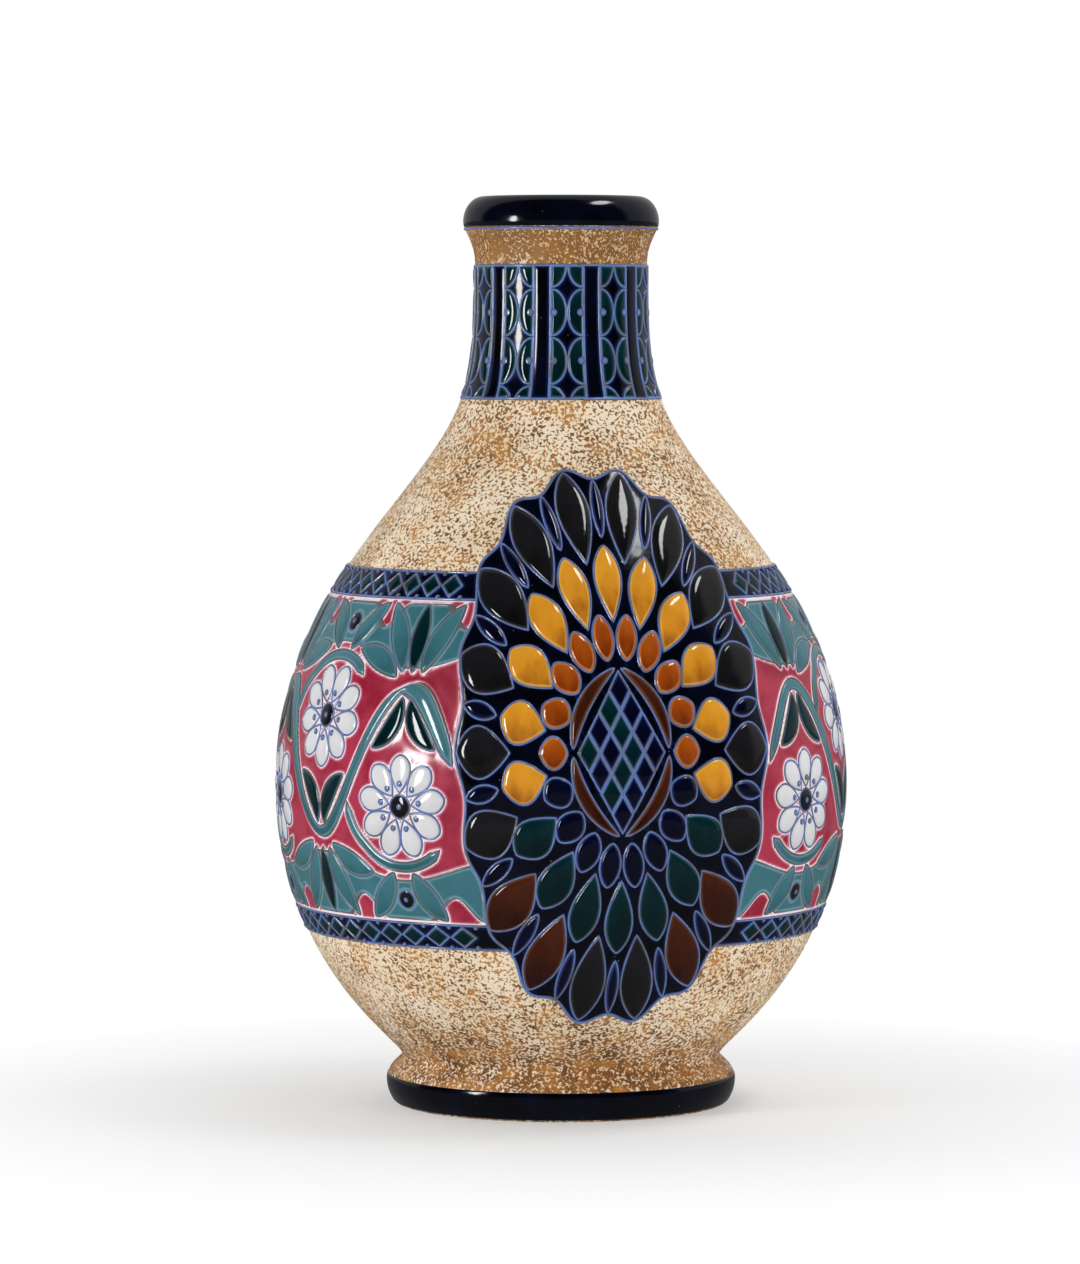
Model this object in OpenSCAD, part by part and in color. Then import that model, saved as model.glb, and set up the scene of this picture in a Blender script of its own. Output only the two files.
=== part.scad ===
// Floor vase of relief-glazed earthenware. A thrown clay body carries layers that are fired on
// one by one: glaze bands flush in shallow recesses, raised slip lines, and enamel cells that
// stand proud of the wall. The axis is Z, the foot rests on z = 0, and -Y is the front.

/* [Foot and belly] */
// Radius of the foot's resting edge
foot_base_r = 88; // [80:0.5:90]
// Radius of the foot at its widest
foot_r = 92.5; // [91:0.5:100]
// Height of the foot's widest ring
foot_edge_h = 12.5; // [10:0.5:16]
// Rise from the foot's widest ring to the waist
waist_h = 13; // [9:0.5:16]
// Radius of the waist over the foot
waist_r = 84.5; // [76:0.5:90]
// Rise from the waist to the belly's widest ring
bowl_h = 144.5; // [130:0.5:165]
// Radius of the belly at its widest
belly_r = 150.5; // [138:0.5:170]
// Rise from the belly's widest ring to the neck
shoulder_h = 203; // [185:1:225]

/* [Neck and rim] */
// Radius where the neck starts
neck_base_r = 53; // [49:0.5:60]
// Height of the patterned neck
neck_h = 71; // [64:1:80]
// Radius of the neck at its narrowest
neck_r = 45.5; // [42:0.1:50]
// Height of the plain collar over the neck
collar_h = 19.5; // [15:0.5:24]
// How far the rolled rim stands out past the neck
rim_overhang = 6.3; // [4:0.1:8]
// Height of the rolled rim
rim_h = 16.5; // [13:0.5:20]
// Height of the rim's upright side below its round top
rim_skirt = 3; // [1:0.5:5]
// Level distance from the mouth's edge to the top of the rim
lip_w = 4.3; // [3:0.1:6]

/* [Curves of the outline] */
// Pull of the foot's curve at its resting edge, up
toe_pull = 3; // [2:0.1:4]
// Pull of the foot's curve at its resting edge, out
toe_flare = 2.5; // [1:0.1:4]
// Pull below the foot's widest ring
foot_low_pull = 5; // [3:0.1:7]
// Pull over the foot's widest ring
foot_high_pull = 7.4; // [4:0.1:8]
// Pull below the waist
waist_low_pull = 2.4; // [1:0.1:4]
// Pull over the waist
waist_pull = 7.5; // [3:0.5:12]
// Pull below the belly's widest ring
belly_low_pull = 99; // [80:1:110]
// Pull over the belly's widest ring
belly_high_pull = 104; // [80:1:110]
// Pull of the shoulder below the neck
shoulder_pull = 52; // [45:1:75]
// Slope of the shoulder where the neck starts
shoulder_slope = 0.36; // [0.3:0.01:0.6]
// Pull of the neck's curve at its start
neck_low_pull = 19; // [14:1:26]
// Pull of the neck's curve at its narrowest
neck_high_pull = 21; // [16:1:36]
// Slope of the neck at its start
neck_slope = 0.44; // [0.1:0.01:0.5]
// Pull of the collar's curve at both ends
collar_pull = 8; // [5:0.5:10]
// Slope of the collar under the rim
collar_slope = 0.45; // [0.2:0.01:0.6]

/* [Walls] */
// Wall of the clay, measured level
wall = 8; // [6:0.5:11]
// Thickness of the floor
floor_t = 12; // [9:0.5:16]
// Radius between the floor and the wall inside
floor_corner_r = 8; // [4:0.5:12]
// Depth of the hollow under the foot
base_hollow = 4; // [2:0.5:7]
// Width of the ring that the vase rests on
foot_ring_w = 14; // [10:0.5:20]
// Thickness of every glaze layer
glaze_t = 0.7; // [0.4:0.1:1.2]
// Bare clay left under the foot's glaze
bare_foot_h = 1.5; // [1:0.1:3]
// Rise of the foot's glaze over its widest ring
foot_glaze_rise = 3.3; // [1:0.1:6]

/* [Bands and lines] */
// Depth of the frieze below the belly's widest ring
frieze_drop = 62.5; // [56:0.5:68]
// Rise of the frieze over the belly's widest ring
frieze_rise = 101; // [92:0.5:110]
// Height of the lattice band under the frieze
lower_lattice_h = 14; // [11:0.5:17]
// Height of the lattice band over the frieze
upper_lattice_h = 15; // [12:0.5:18]
// Lozenges round the lower band
lower_lozenges = 60; // [48:1:66]
// Lozenges round the upper band
upper_lozenges = 58; // [46:1:64]
// Width of a slip line
line_w = 1.4; // [1:0.1:2]
// Height of a slip line over the wall
line_h = 0.7; // [0.4:0.1:1]
// Space between neighbouring enamel cells
cell_gap = 1.5; // [1:0.1:2.2]
// Gap that keeps the cells' flat facets clear of the round wall
seat_gap = 0.2; // [0.15:0.05:0.3]
// Height of a small enamel cell at its middle
small_dome = 1; // [0.6:0.1:1.6]

/* [Neck pattern] */
// Panels round the neck
panels = 11; // [9:1:13]
// Width of the dark bar between two panels
bar_w = 7.1; // [5:0.1:8]
// Rows of half discs, counting the cut rows at the top and the bottom
disc_rows = 4; // [3:1:5]
// Space between one row of half discs and the next
disc_gap = 2.1; // [1:0.1:4]
// How far the top row's middle lies below the neck's upper line
disc_sink = 0; // [0:0.1:3]
// Turn of the first bar from the front
bar_turn = -12.4; // [-20:0.1:20]

/* [Vine] */
// Flowers along the vine
flowers = 13; // [11:2:13]
// Angle from the rosette's middle to the first flower
first_flower = 45; // [44:0.5:50]
// Rise of the vine's middle line over the belly's widest ring
vine_rise = 19; // [17:0.5:21]
// Swing of the vine each way from its middle line
vine_swing = 38; // [36:0.5:40]
// Half the width of the vine's stem
stem_half_w = 2.3; // [1.8:0.1:3.2]
// Distance of a flower's middle from the vine's middle line
flower_drop = 22; // [20:0.5:24]
// Petals of one flower
petals = 9; // [7:1:9]
// Space between a flower's heart and its petals
heart_gap = 1.8; // [1.4:0.1:2.4]
// Length of a petal
petal_len = 18.4; // [14:0.2:19]
// Half the width of a petal
petal_half_w = 5.8; // [4:0.1:5.9]
// Radius of a flower's heart
heart_r = 5.8; // [4:0.1:6]
// Space between a flower's petals and its scroll
scroll_gap = 3; // [2:0.1:4]
// Half the width of a scroll's stem
scroll_half_w = 2; // [1.2:0.1:2.4]
// Half the width of a leaf
leaf_half_w = 5.4; // [4:0.1:5.6]
// Half the width of a sepal
sepal_half_w = 4.7; // [3:0.1:4.8]
// Radius of a berry
berry_r = 4.6; // [3:0.1:5]
// Space between the leaves' tips and the frieze's edge
tip_gap = 2; // [1:0.1:4]
// Reach of the two side leaves over a bend of the vine
side_reach = 38; // [34:0.5:40]
// Rise of the two side leaves' tips over the feet of the upright leaves
side_rise = 10; // [8:0.5:11]
// Reach of the two upright leaves over a bend of the vine
upright_reach = 21; // [18:0.5:22]
// Reach of the two leaves under a flower's scroll
foot_reach = 22; // [18:0.5:23]
// Reach of the two sepals inside a bend of the vine
sepal_reach = 19; // [15:0.5:20]
// Drop of the two sepals inside a bend of the vine
sepal_drop = 25; // [20:0.5:26]
// Distance of the upright and lower leaves' feet from their flower's axis
leaf_foot = 6.2; // [5.6:0.1:7]
// Distance of the side leaves' feet from their flower's axis
side_foot = 10; // [8:0.1:12]
// Distance of the hanging sepals' feet from their flower's axis
sepal_foot = 3; // [2:0.1:4]
// Bend of the upright and lower leaves
leaf_bend = 1.2; // [0:0.1:2]
// Bend of the side leaves
side_bend = 2.5; // [0:0.1:4]
// Bend of the hanging sepals
sepal_bend = 4; // [2:0.1:5]

/* [Rosette] */
// Turn of the rosette from the front
rosette_turn = 12; // [-20:0.5:20]
// Rise of the rosette's middle over the belly's widest ring
rosette_rise = 26; // [22:0.5:30]
// Level distance that the rosette keeps from the vine's ends
rosette_clear = 2.9; // [2:0.1:10]
// Petals in each ring of the rosette
ring_petals = 18; // [16:2:18]
// Height at which the inner ring starts over the rosette's middle
inner_start = 47; // [46:0.5:50]
// Length of an upright petal of the inner ring
inner_len = 22; // [17:0.5:23]
// Half the width of a level petal of the inner ring
inner_half_w = 8; // [6:0.1:8.4]
// Length of an upright petal of the middle ring
middle_len = 36.5; // [30:0.5:37]
// Half the width of a level petal of the middle ring
middle_half_w = 11; // [8:0.1:11.6]
// Length of an upright petal of the outer ring
outer_len = 45; // [38:0.5:47]
// Half the width of a level petal of the outer ring
outer_half_w = 13; // [10:0.1:13.4]
// How far the middle ring reaches in between the inner ring's petals
middle_nest = 3; // [0:0.5:3]
// How far the outer ring reaches in between the middle ring's petals
outer_nest = 6.5; // [3:0.5:6.5]
// Height at which a ray starts over the foot of the outer ring
ray_start = 12; // [9:0.5:15]
// Length of an upright ray between two outer petals
ray_len = 27; // [18:0.5:29]
// Half the width of a level ray
ray_half_w = 4.2; // [2.5:0.1:4.4]
// Width of one lozenge of the heart, with its line
heart_pitch_w = 11.4; // [10:0.1:12]
// Rise from one row of the heart's lozenges to the next
heart_pitch_h = 10.4; // [9:0.1:10.4]
// Half the width of a calyx leaf round the heart
calyx_half_w = 3; // [2:0.1:3.2]
// Height of a rosette petal at its middle
rosette_dome = 2.2; // [1:0.1:3]

/* [Hidden] */
$fn = 96;
tiny = 0.01;
degrees = 180 / PI;

// Heights of the rings that the outline passes through
waist_z = foot_edge_h + waist_h;
belly_z = waist_z + bowl_h;
neck_base_z = belly_z + shoulder_h;
neck_top_z = neck_base_z + neck_h;
rim_z = neck_top_z + collar_h;
height = rim_z + rim_h;
floor_z = base_hollow + floor_t;

// Radii of the mouth and the rim
bore_r = neck_r - wall;
mouth_r = bore_r - glaze_t;
crown_r = mouth_r + lip_w;
rim_r = neck_r + rim_overhang;
collar_r = rim_r - glaze_t;
rim_mid_z = rim_z + rim_skirt;

// Heights of the bands
foot_glaze_z = foot_edge_h + foot_glaze_rise;
frieze_z0 = belly_z - frieze_drop;
frieze_z1 = belly_z + frieze_rise;
lower_z0 = frieze_z0 - lower_lattice_h;
upper_z1 = frieze_z1 + upper_lattice_h;

// A point on a cubic curve from p to s with the handles q and r
function on_curve(p, q, r, s, t) =
    pow(1 - t, 3) * p + 3 * pow(1 - t, 2) * t * q + 3 * (1 - t) * t * t * r + pow(t, 3) * s;

// Points of a curve without the first one
function curve(p, q, r, s, steps) = [for (i = [1:steps]) on_curve(p, q, r, s, i / steps)];

foot_base = [0, foot_base_r];
foot_edge = [foot_edge_h, foot_r];
waist = [waist_z, waist_r];
belly = [belly_z, belly_r];
neck_base = [neck_base_z, neck_base_r];
neck_top = [neck_top_z, neck_r];
collar_top = [rim_z, collar_r];

// The outer wall from the resting edge to the rim, as [height, radius]
wall_table = concat(
    [foot_base],
    curve(foot_base, foot_base + [toe_pull, toe_flare], foot_edge - [foot_low_pull, 0], foot_edge, 4),
    curve(foot_edge, foot_edge + [foot_high_pull, 0], waist - [waist_low_pull, 0], waist, 6),
    curve(waist, waist + [waist_pull, 0], belly - [belly_low_pull, 0], belly, 26),
    curve(belly, belly + [belly_high_pull, 0],
          neck_base - shoulder_pull * [1, -shoulder_slope], neck_base, 34),
    curve(neck_base, neck_base + neck_low_pull * [1, -neck_slope],
          neck_top - [neck_high_pull, 0], neck_top, 8),
    curve(neck_top, neck_top + [collar_pull, 0],
          collar_top - collar_pull * [1, collar_slope], collar_top, 6));

function wall_r(z) = lookup(z, wall_table);
function wall_slope(z) = (wall_r(z + 1) - wall_r(z - 1)) / 2;

// Points up the outer wall from z0 to z1 as [radius, height], set in by a depth
function wall_points(z0, z1, inset) = concat(
    [[wall_r(z0) - inset, z0]],
    [for (p = wall_table) if (p[0] > z0 + tiny && p[0] < z1 - tiny) [p[1] - inset, p[0]]],
    [[wall_r(z1) - inset, z1]]);

function reversed(list) = [for (i = [len(list) - 1:-1:0]) list[i]];
function tail(list) = [for (i = [1:len(list) - 1]) list[i]];

// The inside, from the floor's middle to just under the rim, set in by a depth
corner_z = floor_z + floor_corner_r;
function inner_r(z) = (z < waist_z ? waist_r : z > neck_top_z ? neck_r : wall_r(z)) - wall;
function inner_points(inset) = concat(
    [[0, floor_z + inset]],
    [for (a = [0:18:90])
        [inner_r(corner_z) - floor_corner_r + (floor_corner_r - inset) * sin(a),
         corner_z - (floor_corner_r - inset) * cos(a)]],
    [for (p = wall_table) if (p[0] >= waist_z && p[0] > corner_z + tiny && p[0] <= neck_top_z)
        [inner_r(p[0]) - inset, p[0]]],
    [[bore_r - inset, rim_z]]);

// The rolled rim from its outer lower edge over the top to the bore, set in by a depth
function rim_points(inset) = let (rise = height - rim_mid_z - inset) concat(
    [[rim_r - inset, rim_z]],
    [for (a = [0:10:90]) [crown_r + (rim_r - inset - crown_r) * cos(a), rim_mid_z + rise * sin(a)]],
    [for (a = [100:10:180]) [crown_r + (crown_r - mouth_r - inset) * cos(a), rim_mid_z + rise * sin(a)]],
    [[mouth_r + inset, rim_z]]);

// A glaze band that lies flush in the clay from z0 to z1
module glaze_band(z0, z1) {
    rotate_extrude()
        polygon(concat(wall_points(z0, z1, 0), reversed(wall_points(z0, z1, glaze_t))));
}

// A slip line round the wall at a height, left open for an angle each side of the rosette
module slip_ring(z, open_angle) {
    low = z - line_w / 2;
    high = z + line_w / 2;
    rotate(open_angle + rosette_turn - 90)
        rotate_extrude(angle = 360 - 2 * open_angle)
            polygon(concat(wall_points(low, high, -seat_gap),
                           [[wall_r(high) + line_h, high - line_w / 4],
                            [wall_r(low) + line_h, low + line_w / 4]]));
}

// Cells of enamel are drawn on the wall as [angle from the front, height]. A cell runs from one
// tip to the other through pairs of left and right edge points, and swells between its edges.
function wall_point(p, lift) =
    let (slope = wall_slope(p.y), n = sqrt(1 + slope * slope), r = wall_r(p.y) + lift / n)
    [r * sin(p.x), -r * cos(p.x), p.y - lift * slope / n];

// A place given in millimetres along the wall and up, seen from an axis at some angle
function along_wall(axis, p) = [axis + p.x / wall_r(p.y) * degrees, p.y];

// Points of one cell: [first tip, pairs of edge points, last tip, lift of each tip]
function cell_points(cell, top) = concat(
    [wall_point(cell[0], cell[3])],
    [for (pair = cell[1]) let (middle = (pair[0] + pair[1]) / 2)
        each [wall_point(pair[0], seat_gap), wall_point(middle, top),
              wall_point(pair[1], seat_gap), wall_point(middle, seat_gap)]],
    [wall_point(cell[2], cell[4])]);

// Faces of one cell with the given number of pairs, whose points start at an index
function cell_faces(pairs, start) = let (last = start + 4 * pairs + 1) concat(
    [for (k = [0:3]) [start, start + 1 + (k + 1) % 4, start + 1 + k]],
    [for (i = [0:1:pairs - 2], k = [0:3]) let (a = start + 1 + 4 * i, b = a + 4, j = (k + 1) % 4)
        each [[a + k, a + j, b + j], [a + k, b + j, b + k]]],
    [for (k = [0:3]) let (a = last - 4) [last, a + k, a + (k + 1) % 4]]);

module cells(list, top) {
    pairs = len(list[0][1]);
    size = 4 * pairs + 2;
    polyhedron(points = [for (c = list) each cell_points(c, top)],
               faces = [for (i = [0:len(list) - 1]) each cell_faces(pairs, i * size)]);
}

// A leaf with a bent spine from p to q. Its half width is a power of a sine along the spine, and
// its form holds two powers: the first moves the widest place, the second rounds the sides.
function leaf(axis, p, q, bend, half_w, form, pairs) = let (
    along = (q - p) / norm(q - p),
    middle = (p + q) / 2 + 2 * bend * [-along.y, along.x],
    spine = function (t) (1 - t) * (1 - t) * p + 2 * (1 - t) * t * middle + t * t * q,
    edges = [for (i = [1:pairs]) let (
        t = i / (pairs + 1),
        run = (1 - t) * (middle - p) + t * (q - middle),
        side = [-run.y, run.x] / norm(run) * half_w * pow(sin(180 * pow(t, form[0])), form[1]))
        [along_wall(axis, spine(t) + side), along_wall(axis, spine(t) - side)]])
    [along_wall(axis, p), edges, along_wall(axis, q), seat_gap, seat_gap];

plain_form = [1, 0.7];
dot_form = [1, 0.5];
petal_form = [1.45, 0.56];
inner_form = [1, 0.62];
middle_form = [1.3, 0.7];
outer_form = [1.25, 0.72];

// A round dot as a leaf as long as it is wide
function dot(axis, p, r) = leaf(axis, p - [0, r], p + [0, r], 0, r, dot_form, 3);

// A stem of even width along a list of points in millimetres along the wall and up
function stem(axis, path, half_w) = let (n = len(path)) [
    along_wall(axis, path[0]),
    [for (i = [1:n - 2]) let (
        run = path[i + 1] - path[i - 1],
        side = [-run.y, run.x] / norm(run) * half_w)
        [along_wall(axis, path[i] + side), along_wall(axis, path[i] - side)]],
    along_wall(axis, path[n - 1]), seat_gap, seat_gap];

// A lozenge given by its middle and half its width and height
function lozenge(axis, p, half_w, half_h) = [
    along_wall(axis, p - [0, half_h]),
    [[along_wall(axis, p - [half_w, 0]), along_wall(axis, p + [half_w, 0])]],
    along_wall(axis, p + [0, half_h]), seat_gap, seat_gap];

// The share of a lattice's lozenge that is left when the lines take their part of it
function lozenge_share(half_w, half_h) = 1 - cell_gap / 2 * norm([half_w, half_h]) / (half_w * half_h);

// Lozenges round a lattice band, without those that the rosette covers
function lattice(z0, z1, count, open_angle) = let (
    middle = (z0 + z1) / 2,
    half_h = (z1 - z0) / 2 - line_w,
    half_w = PI * wall_r(middle) / count,
    share = lozenge_share(half_w, half_h))
    [for (i = [0:count - 1]) let (a = (i + 0.5) * 360 / count)
        if (a > open_angle && a < 360 - open_angle)
            lozenge(a + rosette_turn, [0, middle], half_w * share, half_h * share)];

// The neck's pattern: half discs with their flat sides along the lines beside each bar
panel_angle = 360 / panels;
line_angle = line_w / neck_r * degrees;
bar_angle = bar_w / neck_r * degrees;
disc_edge = bar_angle / 2 + line_angle + seat_gap / neck_r * degrees;
disc_angle = panel_angle / 2 - disc_edge - cell_gap / 2 / neck_r * degrees;
neck_low = neck_base_z + line_w;
neck_high = neck_top_z - line_w;
disc_top = neck_top_z - disc_sink;
disc_pitch = (disc_top - neck_low) / (disc_rows - 1.25);
disc_half_h = (disc_pitch - disc_gap) / 2;

// Half disc beside a bar, between two heights: side is 1 for its right and -1 for its left
function half_disc(bar, side, middle, low, high, pairs) = let (
    flat_a = bar + side * disc_edge,
    reach = function (z) side * disc_angle * sqrt(max(0, 1 - pow((z - middle) / disc_half_h, 2))),
    edge = function (z) let (a = flat_a + reach(z)) [[min(a, flat_a), z], [max(a, flat_a), z]],
    cut_low = low > middle - disc_half_h + tiny,
    cut_high = high < middle + disc_half_h - tiny,
    first = cut_low ? 0 : 1,
    steps = pairs - 1 + (cut_low ? 0 : 1) + (cut_high ? 0 : 1),
    edges = [for (i = [first:first + pairs - 1]) edge(low + (high - low) * (1 - cos(180 * i / steps)) / 2)],
    blunt = seat_gap + small_dome / 2)
    [cut_low ? (edges[0][0] + edges[0][1]) / 2 : [flat_a, low], edges,
     cut_high ? (edges[pairs - 1][0] + edges[pairs - 1][1]) / 2 : [flat_a, high],
     cut_low ? blunt : seat_gap, cut_high ? blunt : seat_gap];

function disc_row(row, pairs) = let (middle = disc_top - row * disc_pitch)
    [for (i = [0:panels - 1], side = [-1, 1])
        half_disc(bar_turn + i * panel_angle, side, middle, max(neck_low, middle - disc_half_h),
                  min(neck_high, middle + disc_half_h), pairs)];

// The vine runs behind the rosette from flower to flower. Every second flower stands on its head.
// A motif is drawn round its flower's axis, in millimetres across and up from the vine's middle.
vine_z = belly_z + vine_rise;
flower_step = (360 - 2 * first_flower) / (flowers - 1);
vine_room = min(frieze_z1 - vine_z, vine_z - frieze_z0);
flower_middle = [0, -flower_drop];
petal_start = heart_r + heart_gap;
petal_end = petal_start + petal_len;
scroll_r = petal_end + scroll_gap + scroll_half_w;
scroll_run = 5;
scroll_foot = flower_drop + scroll_r + scroll_half_w;
leaf_tip = vine_room - tip_gap;
fan_y = vine_swing + stem_half_w + leaf_half_w + cell_gap / 2;

function flower_axis(k) = rosette_turn + first_flower + k * flower_step;
function flower_way(k) = k % 2 == 0 ? 1 : -1;
function vine_place(k, p) = [p.x, vine_z + flower_way(k) * p.y];
function flower_leaf(k, p, q, bend, half_w, form = plain_form) =
    leaf(flower_axis(k), vine_place(k, p), vine_place(k, q), flower_way(k) * bend, half_w, form, 3);

vine_steps = 10;
scroll_steps = 10;
vine_points = [for (i = [-vine_steps / 2:vine_steps * (flowers - 1) + vine_steps / 2])
    let (a = first_flower + i * flower_step / vine_steps, z = vine_z + vine_swing * cos(180 * i / vine_steps))
    [a / degrees * wall_r(z), z]];

// Scroll round flower k, from beside the vine to past the flower's foot; the first one starts lower down
scroll_from = 180;
scroll_first = 215;
scroll_to = 315;
scroll_ease = 43;
function scroll_points(k) = let (from = k == 0 ? scroll_first : scroll_from)
    [for (i = [0:scroll_steps]) let (
        a = from + (scroll_to - from) * i / scroll_steps,
        r = scroll_r + scroll_run * max(0, 1 - (a - scroll_from) / scroll_ease))
        vine_place(k, [r * cos(a), r * sin(a) - flower_drop])];

// The rosette is an oval whose rings nest in each other. Its height is set by the rings' lengths,
// and its width by the room between the vine's ends.
rosette_z = belly_z + rosette_rise;
middle_start = inner_start + inner_len - middle_nest;
outer_start = middle_start + middle_len - outer_nest;
outer_end = outer_start + outer_len;
rosette_half_w = (first_flower - flower_step / 2) / degrees * wall_r(rosette_z) - rosette_clear;
squeeze = rosette_half_w / outer_end;
rosette_top = seat_gap + rosette_dome;
enamel_top = seat_gap + small_dome;

function ring_point(a, r) = [squeeze * r * sin(a), rosette_z + r * cos(a)];
function ring_petal(a, r0, r1, half_w, form, pairs) = let (s = sin(a))
    leaf(rosette_turn, ring_point(a, r0), ring_point(a, r1), 0,
         half_w * (squeeze + (1 - squeeze) * s * s), form, pairs);

// Petals of a ring whose angle from the top lies between two values, turned by a share of a petal
function ring(r0, r1, half_w, form, pairs, shift, from, to) =
    [for (k = [0:ring_petals - 1]) let (a = (k + shift) * 360 / ring_petals, down = min(a, 360 - a))
        if (down >= from && down < to) ring_petal(a, r0, r1, half_w, form, pairs)];

function inner_ring(from, to) =
    ring(inner_start, inner_start + inner_len, inner_half_w, inner_form, 5, 0.5, from, to);
function middle_ring(from, to) =
    ring(middle_start, middle_start + middle_len, middle_half_w, middle_form, 5, 0, from, to);
function outer_ring(from, to) = ring(outer_start, outer_end, outer_half_w, outer_form, 5, 0.5, from, to);

// Angles from the top at which the rings change colour
inner_turn = 95;
middle_turn = 105;
brown_from = 120;
brown_to = 160;
ring_end = 181;

// Angle each side of the rosette's middle at which lattices and lines stop for it
function rosette_edge(z) = let (half_w = squeeze * sqrt(max(0, pow(outer_end, 2) - pow(z - rosette_z, 2))))
    (half_w + rosette_clear) / wall_r(z) * degrees;
upper_open = rosette_edge(frieze_z1);
lower_open = rosette_edge(frieze_z0);

// Whether a place in a flower's motif lies beside the rosette
function clear_of_rosette(k, p) = let (
    q = vine_place(k, p),
    a = along_wall(first_flower + k * flower_step, q).x,
    edge = rosette_edge(q.y))
    a > edge && a < 360 - edge;

// Lozenges of the rosette's heart: rows of one to four and back, in two colours by turns
heart_half = 3;
heart_half_w = (heart_half + 1) * heart_pitch_w / 2;
heart_half_h = (heart_half + 1) * heart_pitch_h;
heart_share = lozenge_share(heart_pitch_w / 2, heart_pitch_h);
function heart_lozenges(colour) =
    [for (i = [-heart_half:heart_half]) let (n = heart_half + 1 - abs(i)) for (k = [0:n - 1])
        if ((i + heart_half + k) % 2 == colour)
            lozenge(rosette_turn, [(k - (n - 1) / 2) * heart_pitch_w, rosette_z + i * heart_pitch_h],
                    heart_pitch_w / 2 * heart_share, heart_pitch_h * heart_share)];

module clay_body() {
    color("#b59879") rotate_extrude()
        polygon(concat(
            wall_points(0, bare_foot_h, 0),
            wall_points(bare_foot_h, foot_glaze_z, glaze_t),
            wall_points(foot_glaze_z, lower_z0, 0),
            wall_points(lower_z0, upper_z1, glaze_t),
            wall_points(upper_z1, neck_base_z, 0),
            wall_points(neck_base_z, neck_top_z, glaze_t),
            wall_points(neck_top_z, rim_z, 0),
            tail(rim_points(glaze_t)),
            tail(reversed(inner_points(0))),
            [[0, base_hollow], [foot_base_r - foot_ring_w, base_hollow], [foot_base_r - foot_ring_w, 0]]));
}

module inner_glaze() {
    color("#8d7a5c") rotate_extrude()
        polygon(concat(inner_points(0), reversed(inner_points(glaze_t))));
}

module rim_glaze() {
    color("#0a0f2b") rotate_extrude()
        polygon(concat(rim_points(0), reversed(rim_points(glaze_t))));
}

module foot_glaze() {
    color("#0a0f2b") glaze_band(bare_foot_h, foot_glaze_z);
}

module neck_glaze() {
    color("#080c22") glaze_band(neck_base_z, neck_top_z);
}

module upper_lattice_glaze() {
    color("#0b1128") glaze_band(frieze_z1, upper_z1);
}

module frieze_glaze() {
    color("#933845") glaze_band(frieze_z0, frieze_z1);
}

module lower_lattice_glaze() {
    color("#0b1128") glaze_band(lower_z0, frieze_z0);
}

module border_lines() {
    color("#647aa2") {
        slip_ring(rim_z - line_w / 2, 0);
        slip_ring(neck_top_z - line_w / 2, 0);
        slip_ring(neck_base_z + line_w / 2, 0);
        slip_ring(upper_z1 - line_w / 2, upper_open);
        slip_ring(frieze_z1 + line_w / 2, upper_open);
        slip_ring(frieze_z0 - line_w / 2, lower_open);
        slip_ring(lower_z0 + line_w / 2, lower_open);
    }
}

module neck_uprights() {
    profile = concat(wall_points(neck_low, neck_high, -seat_gap),
                     reversed(wall_points(neck_low, neck_high, -line_h)));
    color("#647aa2")
        for (i = [0:panels - 1], side = [-1, 1])
            rotate(bar_turn - 90 + i * panel_angle + side * (bar_angle + line_angle) / 2 - line_angle / 2)
                rotate_extrude(angle = line_angle)
                    polygon(profile);
}

module neck_half_discs() {
    color("#0d2f33") cells([for (row = [1:disc_rows - 2]) each disc_row(row, 4)], enamel_top);
}

module neck_top_discs() {
    color("#0d2f33") cells(disc_row(0, 3), enamel_top);
}

module neck_bottom_discs() {
    color("#0d2f33") cells(disc_row(disc_rows - 1, 3), enamel_top);
}

module upper_lozenges_enamel() {
    color("#1d4a52") cells(lattice(frieze_z1, upper_z1, upper_lozenges, upper_open), enamel_top);
}

module lower_lozenges_enamel() {
    color("#1d4a52") cells(lattice(lower_z0, frieze_z0, lower_lozenges, lower_open), enamel_top);
}

module vine_stem() {
    color("#4c7e8b") cells([stem(rosette_turn, vine_points, stem_half_w)], enamel_top);
}

module vine_scrolls() {
    color("#4c7e8b")
        cells([for (k = [0:flowers - 1]) stem(flower_axis(k), scroll_points(k), scroll_half_w)], enamel_top);
}

// Leaves under each flower's scroll, and a fan of four over the bend of the vine. Where a side leaf
// would run into the rosette, it is left out.
module vine_leaves() {
    side_y = fan_y - leaf_half_w / 2;
    side_tip = fan_y + side_rise;
    foot_y = -scroll_foot - cell_gap;
    color("#4c7e8b")
        cells([for (k = [0:flowers - 1], side = [-1, 1]) each concat(
            [flower_leaf(k, [side * leaf_foot, foot_y], [side * foot_reach, -leaf_tip],
                         -side * leaf_bend, leaf_half_w),
             flower_leaf(k, [side * leaf_foot, fan_y], [side * upright_reach, leaf_tip],
                         side * leaf_bend, leaf_half_w)],
            clear_of_rosette(k, [side * side_reach, side_tip])
                ? [flower_leaf(k, [side * side_foot, side_y], [side * side_reach, side_tip],
                               side * side_bend, leaf_half_w)]
                : [])], enamel_top);
}

// Three sepals to a flower: one stands in the middle of the fan, two hang inside the bend
module vine_sepals() {
    hang_y = vine_swing - stem_half_w - 2 * cell_gap;
    color("#123c42")
        cells([for (k = [0:flowers - 1]) each concat(
            [flower_leaf(k, [0, fan_y], [0, leaf_tip], 0, sepal_half_w)],
            [for (side = [-1, 1])
                flower_leaf(k, [side * sepal_foot, hang_y], [side * sepal_reach, hang_y - sepal_drop],
                            -side * sepal_bend, sepal_half_w)])], enamel_top);
}

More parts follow.
